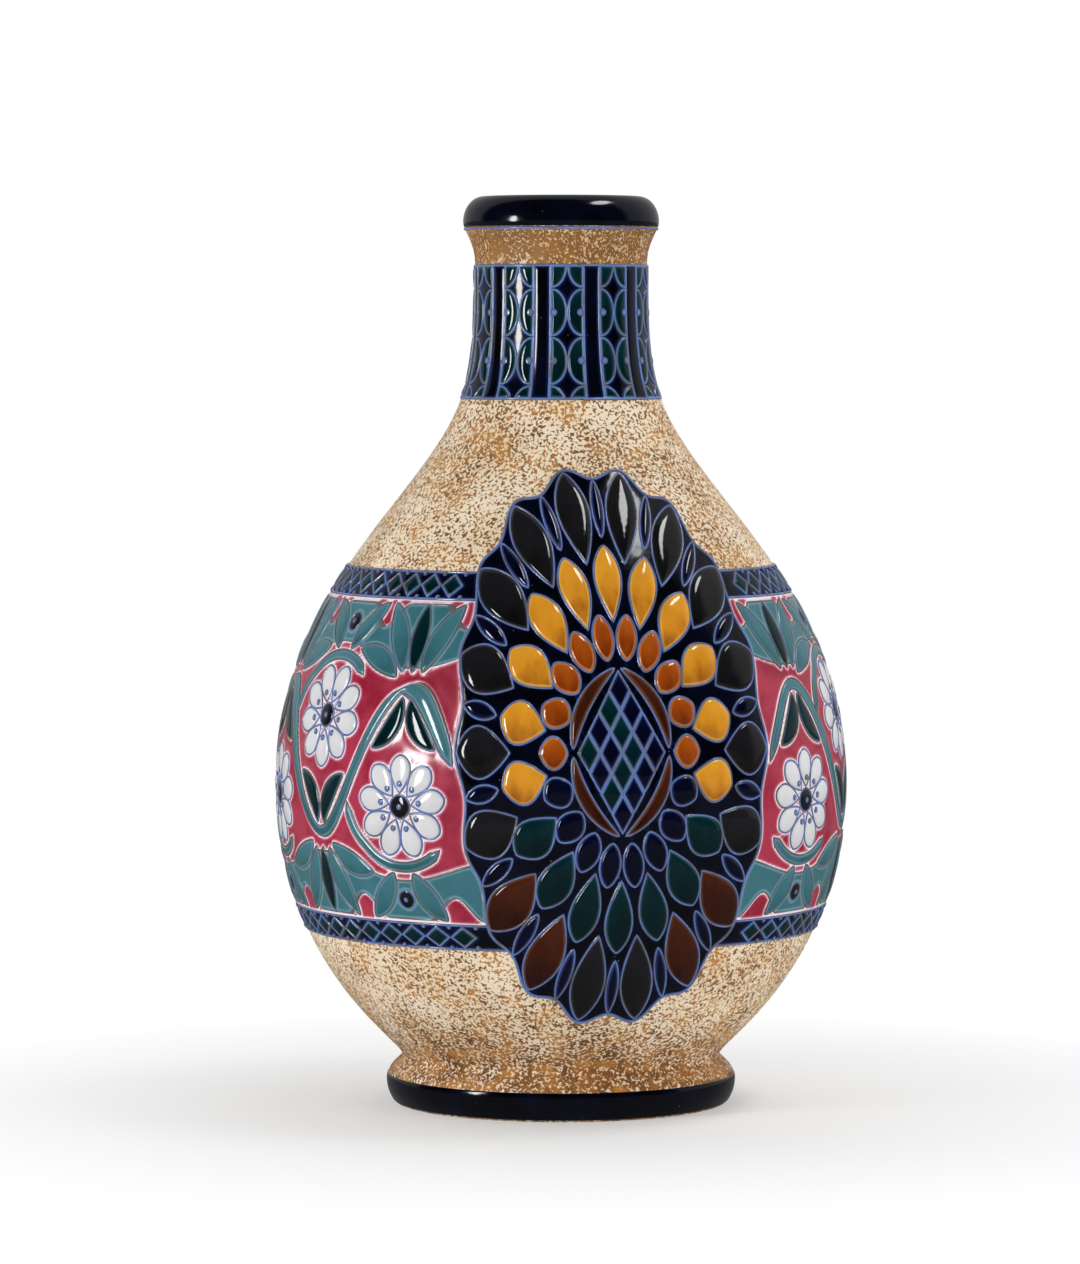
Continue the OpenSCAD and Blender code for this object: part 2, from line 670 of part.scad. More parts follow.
module flower_petals() {
    color("#f2f0f0")
        cells([for (k = [0:flowers - 1], j = [0:petals - 1])
            let (way = [sin(360 * j / petals), cos(360 * j / petals)])
            flower_leaf(k, flower_middle + petal_start * way, flower_middle + petal_end * way,
                        0, petal_half_w, petal_form)], enamel_top);
}

module flower_hearts() {
    color("#1c1c20")
        cells([for (k = [0:flowers - 1]) dot(flower_axis(k), vine_place(k, flower_middle), heart_r)],
              enamel_top);
}

module berries() {
    y = (scroll_foot + vine_room) / 2 + cell_gap;
    color("#1c1c20")
        cells([for (k = [0:flowers - 1]) dot(flower_axis(k), vine_place(k, [0, -y]), berry_r)], enamel_top);
}

module rosette_heart_navy() {
    color("#141a3c") cells(heart_lozenges(0), enamel_top);
}

module rosette_heart_green() {
    color("#0f3a3c") cells(heart_lozenges(1), enamel_top);
}

// Four leaves that close round the heart, each along one of its sides
module rosette_calyx() {
    start = [calyx_half_w - cell_gap / 3, heart_half_h];
    end = [heart_half_w + calyx_half_w * 2 / 3, calyx_half_w];
    bend = calyx_half_w * 1.75;
    color("#553020")
        cells([for (sx = [-1, 1], sz = [-1, 1])
            leaf(rosette_turn, [sx * start.x, rosette_z + sz * start.y], [sx * end.x, rosette_z + sz * end.y],
                 sx * sz * bend, calyx_half_w, plain_form, 5)], rosette_top);
}

module rosette_rust_petals() {
    color("#b8601f") cells(inner_ring(0, inner_turn), rosette_top);
}

module rosette_navy_petals() {
    color("#141a3c") cells(inner_ring(inner_turn, ring_end), rosette_top);
}

module rosette_amber_petals() {
    color("#cd8e38") cells(middle_ring(0, middle_turn), rosette_top);
}

module rosette_green_petals() {
    color("#0f3a3c") cells(middle_ring(middle_turn, ring_end), rosette_top);
}

module rosette_black_petals() {
    color("#222226") cells(concat(outer_ring(0, brown_from), outer_ring(brown_to, ring_end)), rosette_top);
}

module rosette_brown_petals() {
    color("#553020") cells(outer_ring(brown_from, brown_to), rosette_top);
}

module rosette_rays() {
    start = outer_start + ray_start;
    color("#141a3c")
        cells(ring(start, start + ray_len, ray_half_w, plain_form, 3, 0, 0, ring_end), rosette_top);
}

clay_body();
inner_glaze();
rim_glaze();
foot_glaze();
neck_glaze();
upper_lattice_glaze();
frieze_glaze();
lower_lattice_glaze();
border_lines();
neck_uprights();
neck_half_discs();
neck_top_discs();
neck_bottom_discs();
upper_lozenges_enamel();
lower_lozenges_enamel();
vine_stem();
vine_scrolls();
vine_leaves();
vine_sepals();
flower_petals();
flower_hearts();
berries();
rosette_heart_navy();
rosette_heart_green();
rosette_calyx();
rosette_rust_petals();
rosette_navy_petals();
rosette_amber_petals();
rosette_green_petals();
rosette_black_petals();
rosette_brown_petals();
rosette_rays();
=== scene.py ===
import math
from functools import partial
import bpy
import numpy as np
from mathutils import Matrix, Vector
from mathutils.kdtree import KDTree


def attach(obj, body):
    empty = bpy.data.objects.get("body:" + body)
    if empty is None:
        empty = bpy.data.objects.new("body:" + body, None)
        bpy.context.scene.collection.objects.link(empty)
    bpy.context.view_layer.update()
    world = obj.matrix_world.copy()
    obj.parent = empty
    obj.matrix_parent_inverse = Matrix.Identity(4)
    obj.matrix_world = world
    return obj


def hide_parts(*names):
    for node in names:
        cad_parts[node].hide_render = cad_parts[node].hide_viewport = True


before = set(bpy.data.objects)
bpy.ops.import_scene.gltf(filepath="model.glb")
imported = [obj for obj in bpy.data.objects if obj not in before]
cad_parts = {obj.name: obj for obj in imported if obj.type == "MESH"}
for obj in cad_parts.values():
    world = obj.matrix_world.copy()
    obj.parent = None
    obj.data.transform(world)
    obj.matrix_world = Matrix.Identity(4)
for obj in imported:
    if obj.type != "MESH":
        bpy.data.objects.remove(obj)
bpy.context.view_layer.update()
scene = bpy.context.scene
print("frame loaded:", len(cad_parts), "nodes")

# Shapes are drawn in millimetres, and addPiece turns them to metres; the studio is set in metres


def linear(code):
    parts = [int(code[i:i + 2], 16) / 255 for i in (1, 3, 5)]
    return tuple(c / 12.92 if c <= 0.04045 else ((c + 0.055) / 1.055) ** 2.4 for c in parts) + (1.0,)


# Sets inputs of a node, given by name or in the node's own order: a socket is linked, the rest are values
def plug(node, inputs):
    for key, value in inputs.items() if isinstance(inputs, dict) else enumerate(inputs):
        if isinstance(value, bpy.types.NodeSocket):
            node.id_data.links.new(value, node.inputs[key])
        else:
            node.inputs[key].default_value = value


# Adds one node and gives back one of its outputs: settings are its properties, stops its colour ramp
def addNode(tree, kind, inputs=(), stops=(), out=0, **settings):
    node = tree.nodes.new("ShaderNode" + kind)
    for key, value in settings.items():
        setattr(node, key, value)
    if stops:
        ramp = node.color_ramp
        while len(ramp.elements) < len(stops):
            ramp.elements.new(1.0)
        for element, (place, code) in zip(ramp.elements, stops):
            element.position = place
            element.color = linear(code)
    plug(node, inputs)
    return node.outputs[out]


# A new material, the way to add nodes to it, its shader and the place on the piece in millimetres
def newMaterial(name):
    material = bpy.data.materials.new(name)
    material.use_nodes = True
    add = partial(addNode, material.node_tree)
    place = add("TexCoord", out="Object")
    inMm = add("VectorMath", (place, (1000, 1000, 1000)), operation="MULTIPLY")
    return material, add, material.node_tree.nodes["Principled BSDF"], inMm


def addPiece(name, shape, material, nodes=()):
    points, faces, values = shape
    mesh = bpy.data.meshes.new(name)
    mesh.from_pydata((points / 1000).tolist(), [], faces)
    mesh.polygons.foreach_set("use_smooth", [True] * len(mesh.polygons))
    for key, data in values.items():
        layer = mesh.attributes.new(key, "FLOAT", "POINT")
        layer.data.foreach_set("value", np.asarray(data, dtype=np.float32))
    mesh.materials.append(material)
    mesh.update()
    piece = bpy.data.objects.new(name, mesh)
    scene.collection.objects.link(piece)
    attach(piece, "root")
    if nodes:
        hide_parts(*nodes)


# A shape is its points, its faces and values per point; this makes one of several
def joined(shapes):
    points, faces, values, start = [], [], {}, 0
    for shapePoints, shapeFaces, shapeValues in shapes:
        points.append(shapePoints)
        faces += [tuple(i + start for i in face) for face in shapeFaces]
        for key, data in shapeValues.items():
            values.setdefault(key, []).append(data)
        start += len(shapePoints)
    return np.concatenate(points), faces, {key: np.concatenate(data) for key, data in values.items()}


# Faces of a grid of points, row after row; a closed grid joins its last column to its first
def gridFaces(rows, columns, closed):
    faces = []
    for i in range(rows - 1):
        for k in range(columns if closed else columns - 1):
            n = (k + 1) % columns
            faces.append((i * columns + k, i * columns + n, (i + 1) * columns + n, (i + 1) * columns + k))
    return faces


# A shape in which points with the same number in index are one, and points without a face are gone
def merged(points, faces, values, index):
    faces = [tuple(dict.fromkeys(int(index[c]) for c in face)) for face in faces]
    faces = [face for face in faces if len(face) > 2]
    used = sorted({c for face in faces for c in face})
    fresh = {c: n for n, c in enumerate(used)}
    faces = [tuple(fresh[c] for c in face) for face in faces]
    return points[used], faces, {key: data[used] for key, data in values.items()}


# The vase's outline as curves of four points (radius, height)
vase = {
    "curves": [
        ((88, 0), (90.5, 3), (92.5, 7.5), (92.5, 12.5)),
        ((92.5, 12.5), (92.5, 19.9), (84.5, 23.1), (84.5, 25.5)),
        ((84.5, 25.5), (84.5, 33), (150.5, 71), (150.5, 170)),
        ((150.5, 170), (150.5, 274), (71.72, 321), (53, 373)),
        ((53, 373), (44.64, 392), (45.5, 423), (45.5, 444)),
        ((45.5, 444), (45.5, 452), (47.5, 455.5), (51.1, 463.5)),
    ],
    "steps": 64, "segments": 288,
    "wall": 8, "lining": 0.7, "floor": 16, "floorCorner": 8, "baseHollow": 4, "footRing": 14,
    "waist": 25.5, "neckBase": 373, "neckTop": 444,
    "rim": {"low": 463.5, "middle": 466.5, "top": 480, "outer": 51.8, "crown": 41.1, "mouth": 36.8},
    "footGlaze": {"low": 0.7, "high": 15.8, "thick": 0.25, "edge": 1.2, "dip": 0.3},
    "lowerLattice": (93.5, 107.5), "frieze": (107.5, 271), "upperLattice": (271, 286),
}


def wallOutline():
    t = np.linspace(0, 1, vase["steps"] + 1)[:, None]
    u = 1 - t
    path = []
    for p, q, r, s in np.array(vase["curves"], float):
        curve = u**3 * p + 3 * u * u * t * q + 3 * u * t * t * r + t**3 * s
        path.append(curve[1:] if path else curve)
    return np.concatenate(path)


outline = wallOutline()


def wallR(z):
    return np.interp(z, outline[:, 1], outline[:, 0])


# A place on the wall: angle from the front in degrees, height, and lift along the wall's own normal
def onWall(angle, z, lift):
    slope = wallR(z + 0.5) - wallR(z - 0.5)
    tilt = np.sqrt(1 + slope * slope)
    r = wallR(z) + lift / tilt
    turn = np.radians(angle)
    return np.stack([r * np.sin(turn), -r * np.cos(turn), z - lift * slope / tilt], axis=-1)


# Places given in millimetres along the wall and up, from an axis at some angle
def fromAxis(axis, places, lift):
    z = places[..., 1]
    return onWall(axis + np.degrees(places[..., 0] / wallR(z)), z, lift)


# A turned shape from a list of (radius, height); the list runs with the outside on its right hand
def turned(profile):
    r, z = np.array(profile, float).T
    segments = vase["segments"]
    a = 2 * np.pi * np.arange(segments) / segments
    across, depth = np.outer(r, np.sin(a)), -np.outer(r, np.cos(a))
    points = np.stack([across, depth, np.outer(z, np.ones(segments))], axis=-1)
    index = np.arange(len(r) * segments).reshape(len(r), segments)
    index[r < 1e-6] = index[r < 1e-6, :1]
    return merged(points.reshape(-1, 3), gridFaces(len(r), segments, True), {}, index.ravel())


# Glaze over the foot: thin at its edges, where it dips into the clay
def footOutline():
    coat = vase["footGlaze"]
    low, high, edge = coat["low"], coat["high"], coat["edge"]
    z = np.concatenate([np.linspace(low, low + edge, 6), np.linspace(low, high, int(high - low)),
                        np.linspace(high - edge, high, 6)])
    z = np.unique(z)
    near = np.clip(np.minimum(z - low, high - z) / edge, 0, 1)
    lift = (coat["dip"] + coat["thick"]) * np.sqrt(1 - (1 - near) ** 2) - coat["dip"]
    return list(zip(wallR(z) + lift, z))


def rimOutline(inset, steps):
    rim = vase["rim"]
    rise = rim["top"] - rim["middle"] - inset
    outer = rim["outer"] - inset - rim["crown"]
    inner = rim["crown"] - rim["mouth"] - inset
    a = np.pi / 2 * np.arange(2 * steps + 1) / steps
    across = np.where(a <= np.pi / 2, outer, inner)
    return list(zip(rim["crown"] + across * np.cos(a), rim["middle"] + rise * np.sin(a)))


def innerOutline(inset):
    corner = vase["floor"] + vase["floorCorner"]
    waistR = wallR(vase["waist"]) - vase["wall"]
    boreR = wallR(vase["neckTop"]) - vase["wall"]
    reach = vase["floorCorner"] - inset
    path = [(0, vase["floor"] + inset)]
    for a in np.linspace(0, math.pi / 2, 9):
        path.append((waistR - vase["floorCorner"] + reach * math.sin(a), corner - reach * math.cos(a)))
    for r, z in outline[::4]:
        if corner + 0.5 < z <= vase["neckTop"]:
            path.append((r - vase["wall"] - inset, z))
    path.append((boreR - inset, vase["rim"]["low"]))
    return path


# Materials
inColour = {"out": 2, "data_type": "RGBA"}


# A glaze's skin that waves a little, by 0.3 mm at most, as a normal for its shader
def wavySkin(add, inMm, look):
    wave = add("TexNoise", {"Vector": inMm, "Scale": 1 / look["wave"], "Detail": 1})
    return add("Bump", {"Height": wave, "Strength": look["waveShare"], "Distance": 0.0003})


# Buff earthenware, turned, sponged with iron slip and fired without a glaze: a dry, pale ground under a
# labyrinth of worm-shaped brown flecks a little over a millimetre wide, ochre in places. The sponge was
# pressed harder at the foot, towards the neck and under the rim. The collar under the rim is browner from
# rubbing, and its colours are darkened further with painted shade, as it flares out and gets less light.
# Noises are size in millimetres, detail and distortion, and pressed holds two heights and the press at each
def spongedEarthenware():
    look = {"pale": "#f2e2c8", "warm": "#e6cfab", "tan": "#cfa976", "ochre": "#b87d38", "brown": "#87572a",
            "dark": "#6b4420", "rubbedAndShadedIron": "#835829", "wornAndShadedGround": "#c4a06f", "wearAndShade": 0.75, "collar": (435, 450),
            "noises": {"fleck": (1.55, 0.8, 0.6), "fine": (1.3, 0.8, 0.6), "cloud": (34, 2, 0),
                       "patch": (12, 2, 0), "grain": (0.7, 2, 0)},
            "pressed": [(26, 62, 0.068, -0.038), (280, 360, 0.014, 0.037), (440, 453, 0, 0.035)],
            "cloudShare": 0.22, "patchShare": (0.16, 0.34), "spot": (0.693, 0.738), "veil": (0.63, 0.73),
            "veilShare": 0.5, "spotRelief": 0.5, "relief": 0.35, "depth": 0.00012, "rough": 0.62,
            "index": 1.5}
    material, add, shader, inMm = newMaterial("spongedBuffEarthenware")
    height = add("SeparateXYZ", {0: inMm}, out="Z")
    noise = {}
    for key, (size, detail, bent) in look["noises"].items():
        inputs = {"Vector": inMm, "Scale": 1 / size, "Detail": detail, "Distortion": bent}
        noise[key] = add("TexNoise", inputs)
    collar = add("MapRange", (height, *look["collar"]))
    level = add("Mix", {0: collar, 2: noise["fleck"], 3: noise["fine"]})
    for press in look["pressed"]:
        level = add("Math", (level, add("MapRange", (height, *press))), operation="ADD")
    level = add("Math", (noise["cloud"], look["cloudShare"], level), operation="MULTIPLY_ADD")
    patchy = add("MapRange", (collar, 0, 1, *look["patchShare"]))
    level = add("Math", (noise["patch"], patchy, level), operation="MULTIPLY_ADD")
    spot = add("MapRange", (level, *look["spot"]))
    veil = add("MapRange", (level, *look["veil"], 0, look["veilShare"]))
    ground = add("ValToRGB", {0: noise["cloud"]}, [(0.35, look["pale"]), (0.68, look["warm"])])
    stops = [(0.34, look["dark"]), (0.47, look["brown"]), (0.63, look["ochre"])]
    iron = add("ValToRGB", {0: noise["patch"]}, stops)
    # Painted shade: the collar's browner colours are also darkened for the shade under the rim
    wearAndShade = add("Math", (collar, look["wearAndShade"]), operation="MULTIPLY")
    iron = add("Mix", {0: wearAndShade, 6: iron, 7: linear(look["rubbedAndShadedIron"])}, **inColour)
    ground = add("Mix", {0: wearAndShade, 6: ground, 7: linear(look["wornAndShadedGround"])}, **inColour)
    veiled = add("Mix", {0: veil, 6: ground, 7: linear(look["tan"])}, **inColour)
    colour = add("Mix", {0: spot, 6: veiled, 7: iron}, **inColour)
    relief = add("Math", (spot, look["spotRelief"], noise["grain"]), operation="MULTIPLY_ADD")
    bump = add("Bump", {"Height": relief, "Strength": look["relief"], "Distance": look["depth"]})
    plug(shader, {"Base Color": colour, "Normal": bump, "Roughness": look["rough"], "IOR": look["index"]})
    return material


# Cobalt glaze over iron slip, dipped and fired to a full gloss: nearly black where it lies thick, strong
# blue where it thins beside a line, a skin that waves a little, and a few burst bubbles that left pale pin
# specks. The value byLine is 1 at a line's foot
def cobaltGlaze():
    look = {"deep": "#020308", "thin": "#05081c", "byLine": "#0f2355", "bleed": 0.45, "speck": "#8d93a6",
            "speckRadius": 0.3, "speckCore": 0.7, "speckPitch": 7, "speckShare": 0.8, "drift": 22, "wave": 7,
            "waveShare": 0.3, "roughFrom": (0.3, 0.75), "rough": (0.08, 0.14), "index": 1.4}
    material, add, shader, inMm = newMaterial("cobaltBlackDippedGlaze")
    drift = add("TexNoise", {"Vector": inMm, "Scale": 1 / look["drift"], "Detail": 3})
    body = add("ValToRGB", {0: drift}, [(0.42, look["deep"]), (0.72, look["thin"])])
    byLine = add("Attribute", out="Fac", attribute_name="byLine")
    bleed = add("MapRange", (byLine, look["bleed"], 1))
    colour = add("Mix", {0: bleed, 6: body, 7: linear(look["byLine"])}, **inColour)
    toSpeck = add("TexVoronoi", {"Vector": inMm, "Scale": 1 / look["speckPitch"]}, out="Distance")
    reach = look["speckRadius"] / look["speckPitch"]
    speck = add("MapRange", (toSpeck, look["speckCore"] * reach, reach, look["speckShare"], 0))
    colour = add("Mix", {0: speck, 6: colour, 7: linear(look["speck"])}, **inColour)
    gloss = add("MapRange", (drift, *look["roughFrom"], *look["rough"]))
    plug(shader, {"Base Color": colour, "Normal": wavySkin(add, inMm, look),
                  "Roughness": gloss, "IOR": look["index"]})
    return material


# Crimson glaze, brushed on between the slip lines: deep in the middle of a field, a white and pink seam
# where it draws back from a line. The value toLine holds the distance to the nearest line in millimetres
def crimsonGlaze():
    look = {"deep": "#8f1f35", "body": "#a8344b", "blush": "#b9556b", "pink": "#d08a99", "milk": "#f0e2e4",
            "seam": 1.8, "seamFade": (0.02, 0.4), "ragged": 0.6, "drift": 16, "wave": 9,
            "waveShare": 0.3, "rough": 0.17, "index": 1.5}
    material, add, shader, inMm = newMaterial("crimsonBrushedGlaze")
    toLine = add("Attribute", out="Fac", attribute_name="toLine")
    drift = add("TexNoise", {"Vector": inMm, "Scale": 1 / look["drift"], "Detail": 4})
    body = add("ValToRGB", {0: drift}, [(0.38, look["body"]), (0.62, look["deep"])])
    ragged = add("Math", (drift, look["ragged"], toLine), operation="MULTIPLY_ADD")
    near = look["ragged"] / 2
    reach = add("MapRange", (ragged, near, near + look["seam"], 1, 0))
    seam = [(0.1, look["body"]), (0.45, look["blush"]), (0.7, look["pink"]), (0.86, look["milk"])]
    edge = add("ValToRGB", {0: reach}, seam)
    share = add("MapRange", (reach, *look["seamFade"]))
    colour = add("Mix", {0: share, 6: body, 7: edge}, **inColour)
    plug(shader, {"Base Color": colour, "Normal": wavySkin(add, inMm, look),
                  "Roughness": look["rough"], "IOR": look["index"]})
    return material


# Stained slip, trailed from a nozzle and glazed over thinly: light along its crest, dark at its feet, and
# grey-brown where the iron of the clay comes through
def trailedSlip(name, crest, flank, foot, iron, patch, stain, rough):
    look = {"flankAt": 0.45, "stainShare": 0.85, "index": 1.5}
    material, add, shader, inMm = newMaterial(name)
    height = add("Attribute", out="Fac", attribute_name="crest")
    blue = add("ValToRGB", {0: height}, [(0, foot), (look["flankAt"], flank), (1, crest)])
    patches = add("TexNoise", {"Vector": inMm, "Scale": 1 / patch, "Detail": 3})
    share = add("MapRange", (patches, *stain, 0, look["stainShare"]))
    colour = add("Mix", {0: share, 6: blue, 7: linear(iron)}, **inColour)
    plug(shader, {"Base Color": colour, "Roughness": rough, "IOR": look["index"]})
    return material


# Enamel pooled between slip lines and fired to a full gloss: it runs down a little, so it is deeper at
# the foot of its cell, streaked downwards and thin along its edge. The value edge holds millimetres from
# the cell's edge, low runs from 0 at the cell's top to 1 at its foot
def pooledEnamel(name, body, deep, burnt, thin, rim, drift, rough, index):
    look = {"run": (1, 1, 0.35), "streak": 1.2, "pool": (0.4, 1.6), "ragged": 0.8, "edge": 0.5,
            "edgeShare": 0.9, "wave": 6, "waveShare": 0.25}
    material, add, shader, inMm = newMaterial(name)
    edge = add("Attribute", out="Fac", attribute_name="edge")
    low = add("Attribute", out="Fac", attribute_name="low")
    run = add("VectorMath", (inMm, look["run"]), operation="MULTIPLY")
    streak = add("TexNoise", {"Vector": run, "Scale": 1 / drift, "Detail": 4})
    pool = add("Math", (streak, look["streak"], low), operation="MULTIPLY_ADD")
    depth = add("MapRange", (pool, *look["pool"]))
    colour = add("ValToRGB", {0: depth}, [(0, body), (0.6, deep), (1, burnt)])
    ragged = add("Math", (streak, look["ragged"], edge), operation="MULTIPLY_ADD")
    share = add("MapRange", (ragged, look["edge"], look["edge"] + rim, look["edgeShare"], 0))
    colour = add("Mix", {0: share, 6: colour, 7: linear(thin)}, **inColour)
    plug(shader, {"Base Color": colour, "Normal": wavySkin(add, inMm, look),
                  "Roughness": rough, "IOR": index})
    return material


# Honey liner glaze, poured in and out: satin, with runs down the wall
def honeyLiner():
    look = {"body": "#8d7a5c", "run": "#6f5a3c", "drawn": (1, 1, 0.06), "streak": 6, "relief": 0.3,
            "depth": 0.0003, "rough": 0.3, "index": 1.5}
    material, add, shader, inMm = newMaterial("honeyPouredLinerGlaze")
    drawn = add("VectorMath", (inMm, look["drawn"]), operation="MULTIPLY")
    streak = add("TexNoise", {"Vector": drawn, "Scale": 1 / look["streak"], "Detail": 3})
    colour = add("ValToRGB", {0: streak}, [(0.35, look["body"]), (0.7, look["run"])])
    bump = add("Bump", {"Height": streak, "Strength": look["relief"], "Distance": look["depth"]})
    plug(shader, {"Base Color": colour, "Normal": bump, "Roughness": look["rough"], "IOR": look["index"]})
    return material


clay = spongedEarthenware()
cobalt = cobaltGlaze()
crimson = crimsonGlaze()
liner = honeyLiner()
# Slips: colours of crest, flank, foot and iron, size of the patches, reach of the stain, roughness
slips = {
    # Light periwinkle lines, cobalt at the feet
    "blue": ("periwinkleTrailedSlip", "#6b81b4", "#44568a", "#1d2448", "#655e59", 13, (0.42, 0.7), 0.1),
    # Greyer lines, mostly stained by iron
    "grey": ("ironStainedTrailedSlip", "#6a7799", "#464c64", "#201f30", "#5f5349", 17, (0.28, 0.56), 0.2),
}
slip, ironSlip = (trailedSlip(*plan) for plan in slips.values())
# Enamels: colours of the body, deep, burnt and thin glass, width of the thin edge, streaks, roughness, index
enamels = {
    # Tin white: opaque and cool
    "white": ("pooledOpaqueWhiteEnamel", "#dddddf", "#d5d4d6", "#cbc9cc", "#d3d6df", 0.9, 12, 0.1, 1.5),
    # Milky blue-green
    "teal": ("pooledTealEnamel", "#457681", "#386a75", "#2b5863", "#6b99a3", 1.0, 14, 0.1, 1.5),
    # Glassy green, almost black where it is deep
    "green": ("pooledBottleGreenEnamel", "#062b30", "#021e23", "#011418", "#2b5a63", 0.9, 9, 0.08, 1.4),
    # Warm yellow that burns to brown at the foot
    "amber": ("pooledAmberEnamel", "#e5a22c", "#d18a24", "#9a5a16", "#e6b154", 1.3, 8, 0.09, 1.5),
    # Orange to red-brown
    "rust": ("pooledRustEnamel", "#b45c1a", "#93410c", "#692a07", "#d98a4a", 1.1, 8, 0.09, 1.5),
    # Ink blue with a lighter edge
    "navy": ("pooledNavyEnamel", "#070b26", "#04061a", "#020310", "#2f4080", 0.9, 9, 0.07, 1.4),
    # Black lifted to a soft dark grey, partly a painted sheen of reflected room; a mirror for the lamps
    "black": ("pooledIronBlackEnamel", "#1e1d21", "#161618", "#0c0c0d", "#34333a", 0.9, 14, 0.08, 1.4),
    # Dark red-brown
    "brown": ("pooledManganeseBrownEnamel", "#4d2310", "#38160a", "#260d06", "#744529", 1.0, 9, 0.09, 1.4),
}
enamels = {key: pooledEnamel(*plan) for key, plan in enamels.items()}
print("materials made:", len(bpy.data.materials))


# The turned body: under the foot the hollow and the ring with its rounded edges, then the wall, the rim
# under its glaze and the inside
def clayOutline():
    outerR = outline[0, 0]
    ringIn = outerR - vase["footRing"]
    hollow = vase["baseHollow"]
    path = [(0, hollow), (ringIn - 1.2, hollow), (ringIn - 0.35, hollow - 0.35), (ringIn, hollow - 1.2),
            (ringIn, 0.8), (ringIn + 0.25, 0.25), (ringIn + 0.8, 0), (outerR - 0.8, 0), (outerR - 0.2, 0.2)]
    path += [(r, z) for r, z in outline[::2] if z > 0.6]
    return path + rimOutline(vase["lining"], 16) + innerOutline(0)[::-1]


# The glaze over the rim, tucked under at its outer edge and into the mouth
def rimCoat():
    low, outer, mouth = (vase["rim"][key] for key in ("low", "outer", "mouth"))
    under = [(outer - 2.2, low - 0.2), (outer - 0.9, low + 0.1), (outer - 0.25, low + 0.8)]
    return under + rimOutline(0, 24) + [(mouth, low + 1.2), (mouth + 0.4, low)]


linerTop = (vase["rim"]["mouth"] + 0.05, vase["rim"]["low"] + 1)
addPiece("clayBody", turned(clayOutline()), clay, ["clay_body"])
lining = turned([linerTop] + innerOutline(vase["lining"])[::-1])
addPiece("innerGlaze", lining, liner, ["inner_glaze"])
addPiece("rimGlaze", turned(rimCoat()), cobalt, ["rim_glaze"])
addPiece("footGlaze", turned(footOutline()), cobalt, ["foot_glaze"])
print("body and coats turned")

# A cell of the ornament is its axis and the points of its left and right edge, in millimetres along the
# wall and up


# Directions to the left of a path's own, each of length 1
def toLeft(run):
    run = run / np.linalg.norm(run, axis=1)[:, None]
    return np.stack([-run[:, 1], run[:, 0]], axis=1)


# Stations from 0 to 1, closer together at both ends
def eased(count):
    return (1 - np.cos(np.pi * np.linspace(0, 1, count))) / 2


def leafCell(axis, start, end, bend, halfWidth, form, stations=18):
    start, end = np.array(start, float), np.array(end, float)
    along = (end - start) / np.linalg.norm(end - start)
    middle = (start + end) / 2 + 2 * bend * np.array([-along[1], along[0]])
    t = eased(stations + 1)[:, None]
    spine = (1 - t) ** 2 * start + 2 * (1 - t) * t * middle + t * t * end
    left = toLeft((1 - t) * (middle - start) + t * (end - middle))
    width = halfWidth * np.abs(np.sin(np.pi * t ** form[0])) ** form[1]
    width[0] = width[-1] = 0
    return axis, spine + left * width, spine - left * width


def dotCell(axis, middle, r):
    return leafCell(axis, (middle[0], middle[1] - r), (middle[0], middle[1] + r), 0, r, (1, 0.5), 14)


def stemCell(axis, path, halfWidth, nearEnd):
    left = toLeft(np.gradient(path, axis=0))
    width = np.full((len(path), 1), float(halfWidth))
    width[0] = width[-1] = 0
    width[1] = width[-2] = halfWidth * nearEnd
    return axis, path + left * width, path - left * width


def lozengeCell(axis, middle, halfWidth, halfHeight, stations=8):
    t = np.linspace(-1, 1, stations + 1)
    z = middle[1] + t * halfHeight
    width = halfWidth * (1 - np.abs(t))
    return axis, np.stack([middle[0] - width, z], axis=1), np.stack([middle[0] + width, z], axis=1)


# How much smaller a lozenge is drawn, so that half a gap stays free along its edges
def lozengeShare(halfWidth, halfHeight, gap):
    return 1 - gap / 2 * math.hypot(halfWidth, halfHeight) / (halfWidth * halfHeight)


# The closed edge of a cell, so that its outside lies on the left hand
def cellEdge(cell):
    loop = np.concatenate([cell[1], cell[2][::-1]])
    loop = loop[np.linalg.norm(loop - np.roll(loop, 1, axis=0), axis=1) > 1e-4]
    ahead = np.roll(loop, -1, axis=0)
    area = np.sum(loop[:, 0] * ahead[:, 1] - ahead[:, 0] * loop[:, 1])
    return loop if area < 0 else loop[::-1]


# A path with points no further apart than a step
def finely(path, step, closed=True):
    out = []
    for p, q in zip(path if closed else path[:-1], np.roll(path, -1, axis=0)):
        n = max(1, int(math.ceil(np.linalg.norm(q - p) / step)))
        out += [p + (q - p) * i / n for i in range(n)]
    return np.array(out)


# Pools of enamel: each rises from its edge to a crown over a distance, or to its own middle if that is
# less, and a pool narrower than full stands lower
pool = {"base": 0.22, "edgeStep": 0.8, "full": 2.2}


